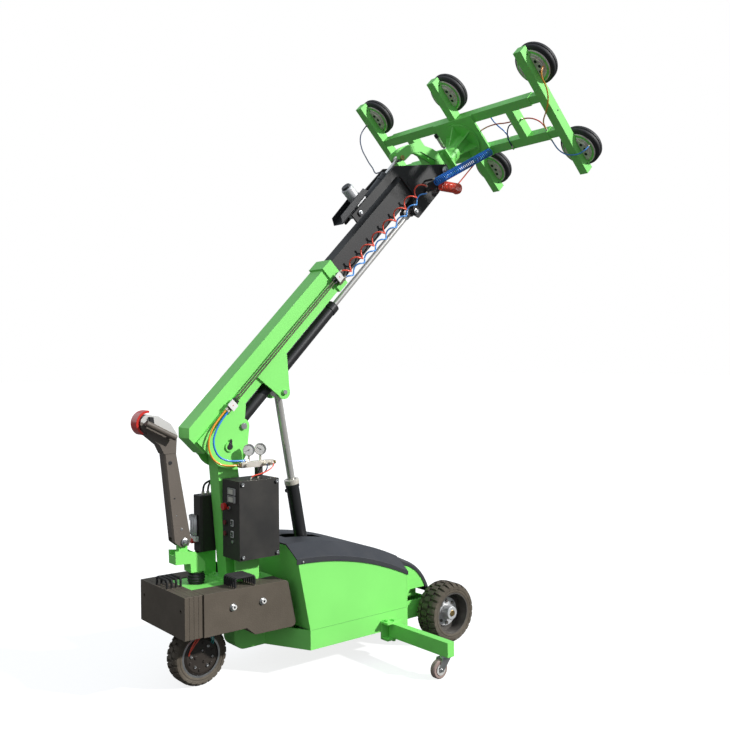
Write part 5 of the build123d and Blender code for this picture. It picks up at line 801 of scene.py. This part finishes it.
@dataclass
class AirLines:
    """All the air lines between mast, boom, head and frame, the cable on the left arm and the short leads."""

    loop_r: float = 5.0
    spiral_r: float = 4.5
    coil_line_r: float = 4.0
    tube_r: float = 4.0
    box_line_r: float = 3.2
    unit_hose_r: float = 5.5
    cable_r: float = 3.5
    wire_r: float = 2.5
    fittings: dict[str, Shell] = field(default_factory=dict)

    def build(self) -> None:
        """Build every line, then the collars gathered on each body."""
        groups = (self.loops(), self.spirals(), self.coils(), self.frame_lines(), [self.cable()],
                  self.box_lines(), self.unit_hoses(), self.motor_cables())
        for hose in itertools.chain(*groups):
            hose.build(self.fittings)
        for body, shell in self.fittings.items():
            shell.build(f"line_collars_{body}", NICKEL, body)

    def loops(self) -> list[Hose]:
        """The two loops from the boom's lower block down to the manifold."""
        rows = (
            ("orange_loop", ORANGE_LINE, 148.5, 65, (-98, -8, -104), [
                (18, -97, 1198), (38, -105, 1130), (84, -115, 1096), (140, -123, 1090), (188, -123, 1090)]),
            ("blue_loop", BLUE_LINE, 133.5, 69, (-84, -10, -98), [
                (44, -101, 1211), (64, -109, 1145), (114, -115, 1115), (174, -123, 1111), (232, -123, 1111)]))
        hoses = []
        for name, finish, level, back, bow, down in rows:
            top, lead = layout.boom.at([(130, -81, level), (back, -81, level)])
            route = np.vstack([top, lead, top + mm(*bow), layout.floor.at(down)])
            hoses.append(Hose(name, route, self.loop_r, finish, ("boom_body", "chassis"), "loop_hoses"))
        return hoses

    def spirals(self) -> list[Hose]:
        """The two stretched curls along the inner boom."""
        r = self.spiral_r
        rows = (("red_spiral", RED_LINE, curl((1150, -87, 130), (1996, -87, 100), 22, 7.5, r)),
                ("blue_spiral", SKY_LINE, curl((1150, -87, 96), (1966, -87, 60), 12, 7.5, r)))
        return [Hose(name, route, r, finish, ("boom_body", "inner_body"), "spiral_hoses", coiled=True)
                for name, finish, route in rows]

    def coils(self) -> list[Hose]:
        """The gathered red and blue curls at the head."""
        at = layout.boom.at
        r = self.coil_line_r
        wound = curl((2088, -92, 6), (2192, -92, -100), 28, 12.5, r)
        onward = wound[-2] + mm(30) * unit(wound[-1] - wound[-2])
        run_on = at([(2192, -30, -114), (2218, -15, -116), (2275, -12, -118), (2340, -20, -115),
                     (2405, -38, -106), (2465, -58, -98), (2522, -58, -98)])
        red = np.vstack([wound[:-1], onward, run_on])
        blue = curl((2030, -132, 70), (2505, -166, -72), 21, 33.5, r)
        rows = (("red_coil", RED_LINE, red, wound[-2]), ("blue_coil", BLUE_LINE, blue, at((2206, -144, 38))))
        bodies = ("inner_body", "lever_body", "frame_body")
        return [Hose(name, route, r, finish, bodies, "coil_hoses", (cut,), coiled=True)
                for name, finish, route, cut in rows]

    def frame_lines(self) -> list[Hose]:
        """The thin lines on the vacuum frame and over to its right arm."""
        frame_only = ("frame_body",)
        to_arm = ("frame_body", "right_arm")
        rows = (
            ("hub_line", RED_LINE, frame_only, [
                (2565, -27, 44), (2565, -100, 44), (2569, -190, 66), (2569, -280, 67), (2565, -345, 56),
                (2565, -409, 56)]),
            ("bar_line", RED_LINE, frame_only, [
                (2565, -463, 54), (2565, -505, 54), (2565, -556, 34), (2565, -592, -8), (2565, -592, -52)]),
            ("upper_cup_line", ORANGE_LINE, to_arm, [
                (2551, -604, -52), (2551, -604, -12), (2531, -636, 30), (2523, -688, 76), (2523, -738, 132),
                (2523, -766, 188), (2524, -777, 236), (2524, -778, 276), (2539, -778, 302), (2565, -777, 317),
                (2595, -777, 317)]),
            ("lower_cup_line", SKY_LINE, to_arm, [
                (2551, -600, -108), (2551, -600, -146), (2534, -622, -186), (2524, -660, -220),
                (2524, -706, -234), (2524, -745, -236), (2539, -771, -234), (2565, -786, -233),
                (2595, -786, -233)]),
            ("bar_drop_line", NAVY_LINE, frame_only, [
                (2557, -409, 46), (2557, -376, 46), (2551, -348, 26), (2533, -330, -14), (2530, -326, -56),
                (2530, -326, -96)]),
            ("rail_line", BLUE_LINE, frame_only, [
                (2581, -248, 132), (2581, -248, 88), (2581, -266, 38), (2581, -292, -8), (2581, -292, -52)]))
        return [Hose(name, layout.boom.at(points), self.tube_r, finish, bodies, "frame_tubes")
                for name, finish, bodies, points in rows]

    def cable(self) -> Hose:
        """The dark line from the left arm back to the head, handed over at two places."""
        points = layout.boom.at([
            (2535, 712, 335), (2492, 712, 335), (2440, 714, 322), (2385, 686, 306), (2330, 638, 295),
            (2262, 570, 285), (2198, 494, 279), (2134, 418, 276), (2072, 342, 275), (2012, 262, 276),
            (1948, 190, 279), (1903, 128, 288), (1890, 90, 296), (1890, 56, 296)])
        bodies = ("left_arm", "frame_body", "lever_body", "inner_body")
        cuts = (points[3], points[7])
        return Hose("left_arm_line", points, self.tube_r, NAVY_LINE, bodies, "frame_tubes", cuts)

    def box_lines(self) -> list[Hose]:
        """The thin lines from the manifold's spigots down to the control box."""
        rows = (
            ("box_line_red", RED_LINE, [
                (354, -157, 1090), (354, -172, 1090), (345, -184, 1078), (315, -188, 1060), (275, -186, 1046),
                (240, -178, 1040), (222, -172, 1034), (218, -170, 1021.5)]),
            ("box_line_navy", NAVY_LINE, [
                (316, -157, 1090), (316, -170, 1090), (312, -180, 1076), (300, -182, 1056), (284, -174, 1042),
                (268, -168, 1036), (262, -166, 1021.5)]))
        return [Hose(name, layout.floor.at(points), self.box_line_r, finish, ("chassis",))
                for name, finish, points in rows]

    def unit_hoses(self) -> list[Hose]:
        """The three black hoses from the hydraulic unit's top up to the mast's left side."""
        floor = layout.floor
        hoses = []
        for i in range(3):
            foot = floor.at((96 + 28 * i, 98, 924))
            end = layout.landed("mast", floor.at((176 + 12 * i, 0, 1020 + 26 * i)), floor.v).origin
            route = np.array([foot, foot + mm(0, 0, 34), foot + mm(12, -2, 62), end + mm(-28, 34, -18),
                              end + mm(-6, 24, -2), end])
            hoses.append(Hose(f"unit_hose_{i + 1}", route, self.unit_hose_r, BLACK_LINE, ("chassis",)))
        return hoses

    def motor_cables(self) -> list[Hose]:
        """The red and cyan cables from the steering crown down to the drive motor's face."""
        rows = (
            ("motor_cable_red_1", RED_LINE, self.cable_r, [
                (4, -60, 305.2), (2, -61, 285), (-6, -62, 262), (-22, -62, 240), (-42, -61, 220),
                (-56, -58, 198), (-60, -47.5, 186)]),
            ("motor_cable_red_2", RED_LINE, self.cable_r, [
                (-8, -62, 305.2), (-12, -63, 286), (-22, -64, 262), (-42, -64, 238), (-60, -63, 214),
                (-70, -60, 186), (-70, -47.5, 166)]),
            ("motor_wire_cyan_1", CYAN_LINE, self.wire_r, [
                (26, -60, 305.2), (30, -61, 286), (38, -62, 264), (50, -61, 240), (56, -57, 220),
                (56, -47.5, 208)]),
            ("motor_wire_cyan_2", CYAN_LINE, self.wire_r, [
                (34, -60, 305.2), (40, -61, 284), (50, -62, 260), (62, -61, 234), (66, -57, 212),
                (64, -47.5, 200)]))
        return [Hose(name, layout.floor.at(points), radius, finish, ("steering",), collars=False)
                for name, finish, radius, points in rows]


@dataclass
class Tyre:
    """A solid tyre with three rows of square lugs, the middle row half a step on."""

    node: str
    body: str
    centre: tuple
    radius: float
    width: float
    bore: float
    lug_depth: float = 12.0
    groove: float = 7.0
    lugs: int = 26
    lug_share: float = 0.66
    slant: float = 0.16
    middle: float = 0.30
    shoulder: float = 0.22
    droop: float = 0.10
    root: float = 1.5
    inset: float = 0.5

    def build(self) -> None:
        """Build the carcass and its lugs as one piece."""
        hub = Place.facing(layout.floor.at(self.centre), -layout.floor.v)
        shell = Shell().turned(hub, self.carcass(), sides=96)
        inner = self.middle * self.width / 2
        outer = self.width / 2 - self.inset
        for low, high, shift in ((-outer, -inner - self.groove, 0.0), (-inner, inner, 0.5),
                                 (inner + self.groove, outer, 0.0)):
            shell.grids(hub.at(self.row(low, high, shift)))
        piece = shell.build(f"{self.node}_treaded", TYRE, self.body)
        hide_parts(self.node)

    def crown(self, y: Points) -> Points:
        """The tread's radius across the tyre: flat, then falling as a parabola over the shoulder."""
        shoulder = self.shoulder * self.width
        past = np.clip(np.abs(y) - (self.width / 2 - shoulder), 0.0, None) / shoulder
        return self.radius - self.droop * self.radius * past**2

    def carcass(self) -> Pairs:
        """The tyre under the lugs, from one bead round to the other and back through the bore."""
        half = self.width / 2
        base = self.radius - self.lug_depth
        bead = [(4, 0), (2, 4), (1, 10), (3, 13), (3, 17), (0.5, 21)]
        side = [*((half - y, self.bore + r) for y, r in bead), (half - 2, base - 6), (half - 14, base - 1)]
        mirror = [(-y, r) for y, r in reversed(side)]
        return [*side, (0.0, base), *mirror, side[0]]

    def row(self, low: float, high: float, shift: float) -> Points:
        """One row of lugs: each a patch in angle and width on the crown, walled down into the carcass.

        Args:
            low: where the row begins across the tyre.
            high: where the row ends across the tyre.
            shift: how far the row is turned on, in steps of a lug.

        Returns:
            Grids of local points, one for each lug.
        """
        around, across = 4, 7
        a = np.pad(np.linspace(-0.5, 0.5, around), 1, mode="edge")
        b = np.pad(np.linspace(0.0, 1.0, across), 1, mode="edge")
        y = low + b * (high - low)
        start = np.arange(self.lugs) + shift
        steps = start[:, None, None] + self.lug_share * a[:, None] + self.slant * np.abs(y) / self.width
        turn = 2 * pi / self.lugs * steps
        inner = np.zeros((around + 2, across + 2), bool)
        inner[1:-1, 1:-1] = True
        r = np.where(inner, self.crown(y), self.crown(y) - self.root * self.lug_depth)
        local = np.empty((*turn.shape, 3))
        local[..., 0] = r * np.cos(turn)
        local[..., 1] = r * np.sin(turn)
        local[..., 2] = y
        return local


@dataclass
class SuctionCups:
    """Vacuum cups: rubber ring with a double lip, a steel face plate and a cast hub behind the carrier."""

    back: float = 2601.0
    radius: float = 125.0
    plate_r: float = 98.0
    hub_r: float = 86.0
    hub_top: float = -6.0
    hub_rise: float = 16.0
    flange: float = 8.0
    step_share: float = 0.86
    arc_steps: int = 25
    arm_clear: float = 29.0
    pockets_r: float = 56.0
    pocket_leans: tuple = (-36.0, 0.0, 36.0)
    levels: tuple = (-245.0, 325.0)
    rows: tuple = (("mid", "frame_body", 0.0), ("right", "right_arm", -700.0), ("left", "left_arm", 700.0))

    def build(self) -> None:
        """Build the cups of each arm."""
        boom = layout.boom
        for row, body, y in self.rows:
            rubber, steel, cast, pocket_shade = Shell(), Shell(), Shell(), Shell()
            for n in self.levels:
                cup = Place.facing(boom.at((self.back, y, n)), boom.u, boom.w)
                self.ring(rubber, cup)
                self.face(steel, cup)
                self.hub(cast, pocket_shade, cup)
            node = f"cups_{row}"
            piece = rubber.build(f"{node}_rings", RUBBER, body)
            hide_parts(node)
            steel.build(f"{node}_plates", CAST, body)
            cast.build(f"{node}_hubs", CAST, body)
            pocket_shade.build(f"{node}_pockets", BLACK_PLASTIC_AND_SHADE, body)

    def ring(self, shell: Shell, cup: Place) -> None:
        """The rubber ring: back, rounded flank with a groove, sealing lip and hollow inside."""
        r = self.radius
        shell.turned(cup, [
            (0, self.plate_r), (4, r - 17), (9, r - 6), (16, r - 1), (24, r), (30, r - 3), (33, r - 3.5),
            (37, r), (50, r), (55.5, r - 3), (56, r - 8), (52, r - 14), (44, r - 18), (34, r - 22), (34, 0)],
            sides=72)

    def face(self, shell: Shell, cup: Place) -> None:
        """The steel plate inside the cup with its port, and the pale rim of the carrier."""
        shell.turned(cup, [(34, 90), (38, 88), (38, 20), (36, 18), (36, 6), (30, 5)], sides=56)
        r = self.plate_r
        shell.turned(cup, [(-4, r - 2), (-6, r + 2), (-2, r + 7), (2, r + 5)], sides=64)

    def hub(self, cast: Shell, pocket_shade: Shell, cup: Place) -> None:
        """The cast hub behind the carrier, in two halves beside the arm, with flat black discs as painted shade
        for its pockets.
        """
        high = self.hub_top
        low = high - self.hub_rise
        reach = acos(self.arm_clear / self.hub_r)
        turn = np.linspace(-reach, reach, self.arc_steps)
        dish = [(low - 0.4, 0), (low - 0.4, 9.5), (low + 3, 10)]
        for sign in (-1.0, 1.0):
            for share, bottom in ((1.0, high - self.flange), (self.step_share, low)):
                r = share * self.hub_r
                edge = np.clip(r * np.cos(turn), self.arm_clear, None)
                cast.prism(cup, np.stack([sign * edge, r * np.sin(turn)], axis=-1), bottom, high)
            # Flat black discs: painted shade for the hub's pockets.
            for lean in np.radians(self.pocket_leans):
                spot = (sign * self.pockets_r * cos(lean), self.pockets_r * sin(lean))
                pocket_shade.turned(cup, dish, spot, 20)


@dataclass
class TiltDrive:
    """The electric tilt cylinder: motor, gear case, thrust tube and the channel that shields it."""

    base: tuple = (1508, 0, 277)
    hook: tuple = (1998, 0, 297)
    motor_at: tuple = (70, 0)
    tube_r: float = 22.0
    tube_end: float = 345.0
    rod_r: float = 10.2

    def build(self) -> None:
        """Build the four pieces on the actuator's body."""
        start, end = layout.boom.at([self.base, self.hook])
        u = unit(end - start)
        v = layout.boom.v
        act = Place(start, u, v, np.cross(u, v))
        self.gear_case(act)
        self.thrust_tube(act)
        self.channel(act)

    def gear_case(self, act: Place) -> None:
        """Rear eye, gear case and upright motor with a ribbed can."""
        shell = Shell()
        eye = Place.facing(act.origin, act.v, act.w)
        shell.turned(eye, [(-28, 0), (-28, 22), (-26, 24), (26, 24), (28, 22), (28, 0)])
        case = [(24, -30), (30, -36), (110, -36), (116, -30), (116, 30), (110, 36), (30, 36), (24, 30)]
        shell.prism(act, case, -24, 34)
        ribs = np.repeat(np.linspace(46, 122, 9), 2)
        radii = np.where(np.arange(len(ribs)) % 4 < 2, 36, 34.5)
        can = [(34, 0), (34, 36), *zip(ribs.tolist(), radii.tolist()), (134, 36), (138, 33), (138, 0)]
        shell.turned(act, can, self.motor_at, 48)
        for y, x in itertools.product((-28, 28), (34, 106)):
            shell.cap_screw(act.moved(x, y, 34), 5)
        piece = shell.build("tilt_motor", ALLOY, "actuator")
        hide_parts("tilt_actuator")
        cap = Shell().turned(act, [(138, 0), (138, 28), (147, 28), (150, 25), (150, 0)], self.motor_at)
        cap.build("tilt_motor_cap", BLACK_PLASTIC_AND_SHADE, "actuator")

    def thrust_tube(self, act: Place) -> None:
        """The black tube with its clamped end and wiper ring."""
        way = Place(act.origin, act.v, act.w, act.u)
        r, end = self.tube_r, self.tube_end
        clamp = [(60, 0), (58, 3), (40, 3), (38, 0), (20, 0), (18, 2), (2, 2), (0, -1)]
        profile = [(12, 0), (12, r), *((end - back, r + rise) for back, rise in clamp), (end, self.rod_r),
                   (300, self.rod_r)]
        Shell().turned(way, profile).build("tilt_thrust_tube", CYLINDER, "actuator")

    def channel(self, act: Place) -> None:
        """The folded channel: a floor and two lips with slanting ends."""
        side = Place(act.origin, act.u, act.w, act.v)
        shell = Shell().slab(side, (-128, 150), (34, 39), (-42, 42))
        for low in (-42, 38):
            shell.prism(side, [(-128, 36), (150, 36), (130, 74), (-108, 74)], low, low + 4)
        shell.build("tilt_channel", BLACK_PLASTIC_AND_SHADE, "actuator")


@dataclass
class SteeringTrim:
    """The bellows round the column and the bolts at the tiller's foot."""

    low: float = 505.0
    high: float = 561.0
    neck: float = 30.4
    fold_mid: float = 36.5
    fold_half: float = 1.8
    bulge: float = 7.0
    folds: int = 4
    fold_steps: int = 12
    bolt_at: tuple = (-77, 34, 726)
    bolt_size: float = 11.0

    def build(self) -> None:
        """Build the bellows and the pivot bolts."""
        share = np.linspace(0.0, 1.0, self.fold_steps * self.folds + 1)
        height = self.low + (self.high - self.low) * share
        fold = self.fold_half * np.cos(2 * pi * self.folds * share)
        radius = self.fold_mid + self.bulge * np.sin(pi * share) + fold
        profile = [(self.low, self.neck), *zip(height.tolist(), radius.tolist()), (self.high, self.neck)]
        bellows = Shell().turned(layout.floor, profile, sides=64)
        piece = bellows.build("column_bellows", RUBBER, "chassis", sharp=70.0)
        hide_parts("steering_boot")
        bolts = Shell()
        x, y, z = self.bolt_at
        for face in layout.sides:
            bolts.hex_bolt(Place.facing(layout.floor.at((x, y * face[1], z)), face), self.bolt_size)
        bolts.build("tiller_pivot_bolts", ZINC, "steering")


@dataclass
class Trim:
    """Small fittings set on the CAD's skin, gathered into one piece for each body and finish."""

    shells: dict[tuple[str, Finish], Shell] = field(default_factory=dict)

    def build(self) -> None:
        """Set every fitting, then make the gathered pieces."""
        for fit in (self.panel, self.gauges, self.boom_pins, self.air_blocks, self.head, self.glass_frame,
                    self.wheels, self.drive_face, self.chassis, self.tiller, self.lift_gland, self.valves):
            fit()
        for (body, finish), shell in self.shells.items():
            shell.build(f"{finish.name}_trim_{body}", finish, body)

    def on(self, body: str, finish: Finish) -> Shell:
        """The shell that gathers one body's fittings of one finish."""
        return self.shells.setdefault((body, finish), Shell())

    def panel(self) -> None:
        """Display windows, the stop button's collar, the push buttons, and rims round the switches."""
        on = partial(self.on, "chassis")
        rear = layout.rear_face(119)
        shown = layout.landed("panel_displays", rear.at((157, 968, 0)), rear.w)
        low = float((shown.origin - rear.origin) @ rear.w) * MM
        for v in (968, 930):
            on(DISPLAY).slab(rear, (133, 181), (v - 13, v + 13), (low, low + 1.2))
            on(BLACK_PLASTIC_AND_SHADE).surround(rear, (157, v), [
                (25.5, 14.5, low), (25.5, 14.5, low + 2), (23.5, 12.5, low + 2), (23.5, 12.5, low)])
        on(BLACK_PLASTIC_AND_SHADE).ring(rear, 21, 1.8, (100, 889), hole=9.5)
        on(ZINC).ring(rear, 9, 7, (131, 884))
        on(RED).ring(rear, 6, 12, (131, 884))
        for v in (807, 753):
            on(BLACK_PLASTIC_AND_SHADE).ring(rear, 16, 4, (92, v))
            on(DARK_RED).ring(rear, 12.5, 10, (92, v))
        for v in (812, 756):
            on(WHITE_PLASTIC).surround(rear, (157, v), [
                (8.5, 12.5, -1), (8.5, 12.5, 4), (11.5, 16, 4), (11.5, 16, -1)])
        on(ZINC).ring(rear, 8, 3, (158, 720))
        on(BLACK_PLASTIC_AND_SHADE).slab(rear, (157, 159), (715, 725), (3, 3.4))
        for x, z in itertools.product((136, 335), (649, 1007)):
            at = layout.landed("control_lid", layout.floor.at((x, -225, z)), -layout.floor.v)
            on(ZINC).cap_screw(at, 8.5)

    def gauges(self) -> None:
        """Dials with rim, ticks and needle, and the brass ends of the manifold."""
        on = partial(self.on, "chassis")
        towards = (-0.5, -0.866, 0.0)
        for x, reading in ((238, 205.0), (306, 150.0)):
            dial = Place.facing(layout.floor.at((x, -123, 1164)), towards).moved(0, 0, 14)
            on(CHROME).turned(dial, [(-26, 29.2), (1.5, 30.5), (3.5, 29.5), (3.5, 26.5), (0.6, 26.2)])
            on(WHITE_PLASTIC).ring(dial, 26.4, 0.7)
            marks = on(BLACK_PLASTIC_AND_SHADE)
            for degrees in range(-45, 226, 30):
                marks.prism(dial, spoke(degrees, 20, 23.8, 0.6), 0.7, 1.1)
            marks.prism(dial, spoke(reading, -6, 18.5, 0.9), 1.2, 1.8)
            marks.ring(dial, 2.6, 2.6)
        plug = [(0, 0), (0, 13), (11, 13), (12, 11.5), (12, 9), (20, 9), (20, 0)]
        for x, way in ((376, 1.0), (188, -1.0)):
            end = Place.facing(layout.floor.at((x, -123, 1090)), way * layout.floor.u)
            on(BRASS).turned(end, plug, sides=6)

    def boom_pins(self) -> None:
        """Caps on the pins of the boom's cheeks, and a flat dark disc with an upward tab at its pivot."""
        for face in layout.sides:
            for s, n, r in ((128, 13, 17), (425, -50, 12)):
                at = layout.landed("boom", layout.boom.at((s, 0, n)), face)
                self.on("boom_body", ZINC).ring(at, r, 4)
            # A flat dark disc with an upward tab at the pivot.
            pivot_mark = layout.landed("boom", layout.boom.origin, face)
            dark = self.on("boom_body", BLACK_PLASTIC_AND_SHADE)
            dark.ring(pivot_mark, 15, 4)
            dark.prism(pivot_mark, [(-10, 4), (10, 4), (12, 36), (3, 40)], -1, 3)

    def air_blocks(self) -> None:
        """White covers on the blocks at both ends of the boom's pipes, with dark fittings."""
        on = partial(self.on, "boom_body")
        spigot = [(0, 0), (0, 8.5), (14, 8.5), (14, 6.5), (22, 6.5), (22, 0)]
        for s, out in ((154, 1.0), (1116, -1.0)):
            at = layout.landed("boom_pipes", layout.boom.at((s, -81, 141)), -layout.boom.v, layout.boom.w)
            on(WHITE_PLASTIC).slab(at, (-20, 20), (-24, 24), (-1, 5))
            on(RED).ring(at.moved(0, 0, 5), 3.2, 0.6, sides=16)
            for v in (-10.5, 10.5):
                end = Place.facing(at.at((out * 20, v, -10)), out * at.u)
                on(BLACK_PLASTIC_AND_SHADE).turned(end, spigot, sides=12)

    def head(self) -> None:
        """Bolts with dark rings on the head's plates, and the eyes of the tilt cylinder."""
        boom = layout.boom
        for face in layout.sides:
            for s, n, r in ((2206, 36, 20), (1841, 13, 13), (1508, 277, 12)):
                at = layout.landed("inner_boom", boom.at((s, 0, n)), face, boom.w)
                self.on("inner_body", BLACK_PLASTIC_AND_SHADE).ring(at, 1.5 * r, 3)
                self.on("inner_body", ZINC).hex_bolt(at.moved(0, 0, 3), 0.72 * r)
            eye = layout.landed("tilt_lever", boom.at((1998, 0, 297)), face, boom.w)
            self.on("lever_body", BRASS).ring(eye, 15, 4, hole=5)

    def glass_frame(self) -> None:
        """The valve beside the frame's hub, and flat black discs in the arms, painted shade for their small holes.
        """
        boom = layout.boom
        hub = boom.moved(2545, 202, 70)
        self.on("frame_body", CHROME).turned(hub, [(-44, 0), (-44, 14), (30, 14), (30, 0)])
        dark = self.on("frame_body", BLACK_PLASTIC_AND_SHADE)
        dark.turned(hub, [(30, 0), (30, 16.5), (52, 16.5), (54, 14), (54, 0)])
        dark.turned(hub, [(-56, 0), (-56, 9), (-44, 9), (-44, 0)], sides=6)
        self.on("frame_body", ZINC).slab(hub, (-4, 30), (-46, -6), (-24, -20))
        for node, body, y, levels in (("vacuum_frame", "frame_body", 0, (416, -336)),
                                      ("end_arm_right", "right_arm", -700, (416, 44, -336)),
                                      ("end_arm_left", "left_arm", 700, (416, 44, -336))):
            for n in levels:
                at = layout.landed(node, boom.at((2572, y, n)), -boom.v, boom.w)
                # A flat black disc: painted shade for a small hole in the arm.
                self.on(body, BLACK_PLASTIC_AND_SHADE).ring(at, 5.5, 0.6, sides=16)

    def wheels(self) -> None:
        """Silver hub discs with a brassy nose on the front rims; pale discs on the casters."""
        for name, sign in SIDES:
            on = partial(self.on, f"{name}_wheel")
            hub = Place.facing(layout.floor.at((FRONT_AXLE_X, sign * HUB_DISC_Y, FRONT_WHEEL_R)),
                               sign * layout.floor.v)
            on(ALLOY).turned(hub, [(-0.5, 40.2), (0.8, 40.2), (0.8, 79.2), (-1, 80.4)])
            on(ALLOY).turned(hub, [(0, 41), (47, 37), (49.2, 34.5), (49.2, 17)])
            on(BRASS).turned(hub, [(46, 17.2), (53, 16.8), (54.5, 15), (54.5, 0)])
            low, high = (np.array(corner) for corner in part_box(f"caster_wheel_{name}"))
            for face in layout.sides:
                disc = Place.facing((low + high) / 2 + face * (high[1] - low[1]) / 2, face)
                self.on(f"{name}_caster_wheel", PALE_PLASTIC).ring(disc, 29, 0.6, hole=10)

    def drive_face(self) -> None:
        """Bright bolts and studs on the drive motor's face."""
        for r, degrees, size in ((58, 52, 7.5), (60, -10, 6.5), (58, -58, 7.5), (58, 172, 6.5),
                                 (58, 232, 6.5), (30, 80, 5)):
            turn = radians(degrees)
            spot = layout.floor.at((r * cos(turn), 0, DRIVE_WHEEL_R + r * sin(turn)))
            self.on("steering", ZINC).cap_screw(layout.landed("drive_motor", spot, -layout.floor.v), size)

    def chassis(self) -> None:
        """Screws on the cover's lip, the panels' seam, and flat black hexagons on the ballast bolts, painted shade
        for their sockets.
        """
        on = partial(self.on, "chassis")
        at = layout.floor.at
        for face in layout.sides:
            near, far = (layout.landed("body_shell", at((x, 0, 240)), face) for x in (494, 1136))
            along = float((far.origin - near.origin) @ near.u) * MM
            on(SEAM).slab(near, (min(0.0, along), max(0.0, along)), (-3.1, -0.9), (-1, 0.4))
            on(ZINC).cap_screw(layout.landed("top_cover", at((440, 0, 596)), face), 6)
            for x in (68, 236):
                head = layout.landed("ballast_bolts", at((x, 0, 425)), face)
                on(WHITE_PLASTIC).ring(head, 12.5, 0.6, hole=6, sides=24)
                # A flat black hexagon: painted shade for the bolt's socket.
                on(BLACK_PLASTIC_AND_SHADE).ring(head, 6, 0.5, sides=6)

    def tiller(self) -> None:
        """The bolt and the small screws on the tiller's arm, and flat black discs in its side, painted shade for
        its hole.
        """
        for face in layout.sides:
            # The black discs are painted shade for the hole in the arm's side; the zinc ones are the bolt and
            # screws.
            for x, z, r, finish in ((-92, 790, 6.5, ZINC), (-120, 860, 3, ZINC),
                                    (-128, 945, 4, BLACK_PLASTIC_AND_SHADE), (-150, 1120, 10, BLACK_PLASTIC_AND_SHADE)):
                at = layout.landed("tiller_arm", layout.floor.at((x, 0, z)), face)
                self.on("tiller", finish).ring(at, r, 1.5, sides=20)

    def lift_gland(self) -> None:
        """The pale ring and the dark port at the lift barrel's mouth."""
        floor = layout.floor
        axis = -unit(layout.joints["lift_stroke"]["axis"])
        pin = np.array(layout.joints["lift_rod_turn"]["pos_m"])
        spots = mesh_points(frame["nodes"]["lift_barrel"].data)
        mouth = pin + axis * ((spots - pin) @ axis).max()
        r = abs(layout.landed("lift_barrel", mouth - mm(10) * axis, -floor.v).origin[1]) * MM
        self.on("lift_barrel_body", NICKEL).turned(Place.facing(mouth, axis, floor.v), [
            (-26, r - 4), (-26, r + 2), (-2, r + 2), (1, r - 2), (1, 26)])
        port = layout.landed("lift_barrel", mouth - mm(60) * axis, -floor.u)
        self.on("lift_barrel_body", BLACK_PLASTIC_AND_SHADE).ring(port, 11, 12, sides=6)

    def valves(self) -> None:
        """The bright spool cases, and the pale block and red knob of the hydraulic unit."""
        on = partial(self.on, "chassis")
        case = [(722, 0), (722, 9.5), (800, 9.5), (804, 7), (826, 7), (826, 0)]
        for y in (98, 119, 140):
            on(ZINC).turned(layout.floor, case, (53.5, y), 24)
        knob = layout.rear_face(62)
        on(WHITE_PLASTIC).slab(knob, (-142, -86), (690, 716), (-1, 16))
        on(RED).ring(knob, 14, 22, (-128, 690), sides=24)


def spoke(degrees: float, near: float, far: float, half: float) -> Pairs:
    """A thin bar's outline on a dial, from one radius to another at an angle."""
    way = np.array((cos(radians(degrees)), sin(radians(degrees))))
    side = half * np.array((-way[1], way[0]))
    return [near * way + side, near * way - side, far * way - side, far * way + side]


def main() -> None:
    """Build the stage and every sub-assembly in order."""
    logging.basicConfig(level=logging.INFO, format="%(name)s %(message)s")
    Studio().build()
    dress_nodes()
    AirLines().build()
    for name, sign in SIDES:
        centre = (FRONT_AXLE_X, sign * FRONT_WHEEL_Y, FRONT_WHEEL_R)
        Tyre(f"front_tyre_{name}", f"{name}_wheel", centre, FRONT_WHEEL_R, 140, 116).build()
    centre = (0, 0, DRIVE_WHEEL_R)
    Tyre("drive_tyre", "drive_wheel", centre, DRIVE_WHEEL_R, 100, 105, lug_depth=8.0, groove=5.0).build()
    SuctionCups().build()
    TiltDrive().build()
    SteeringTrim().build()
    Trim().build()


if __name__ == "__main__":
    main()
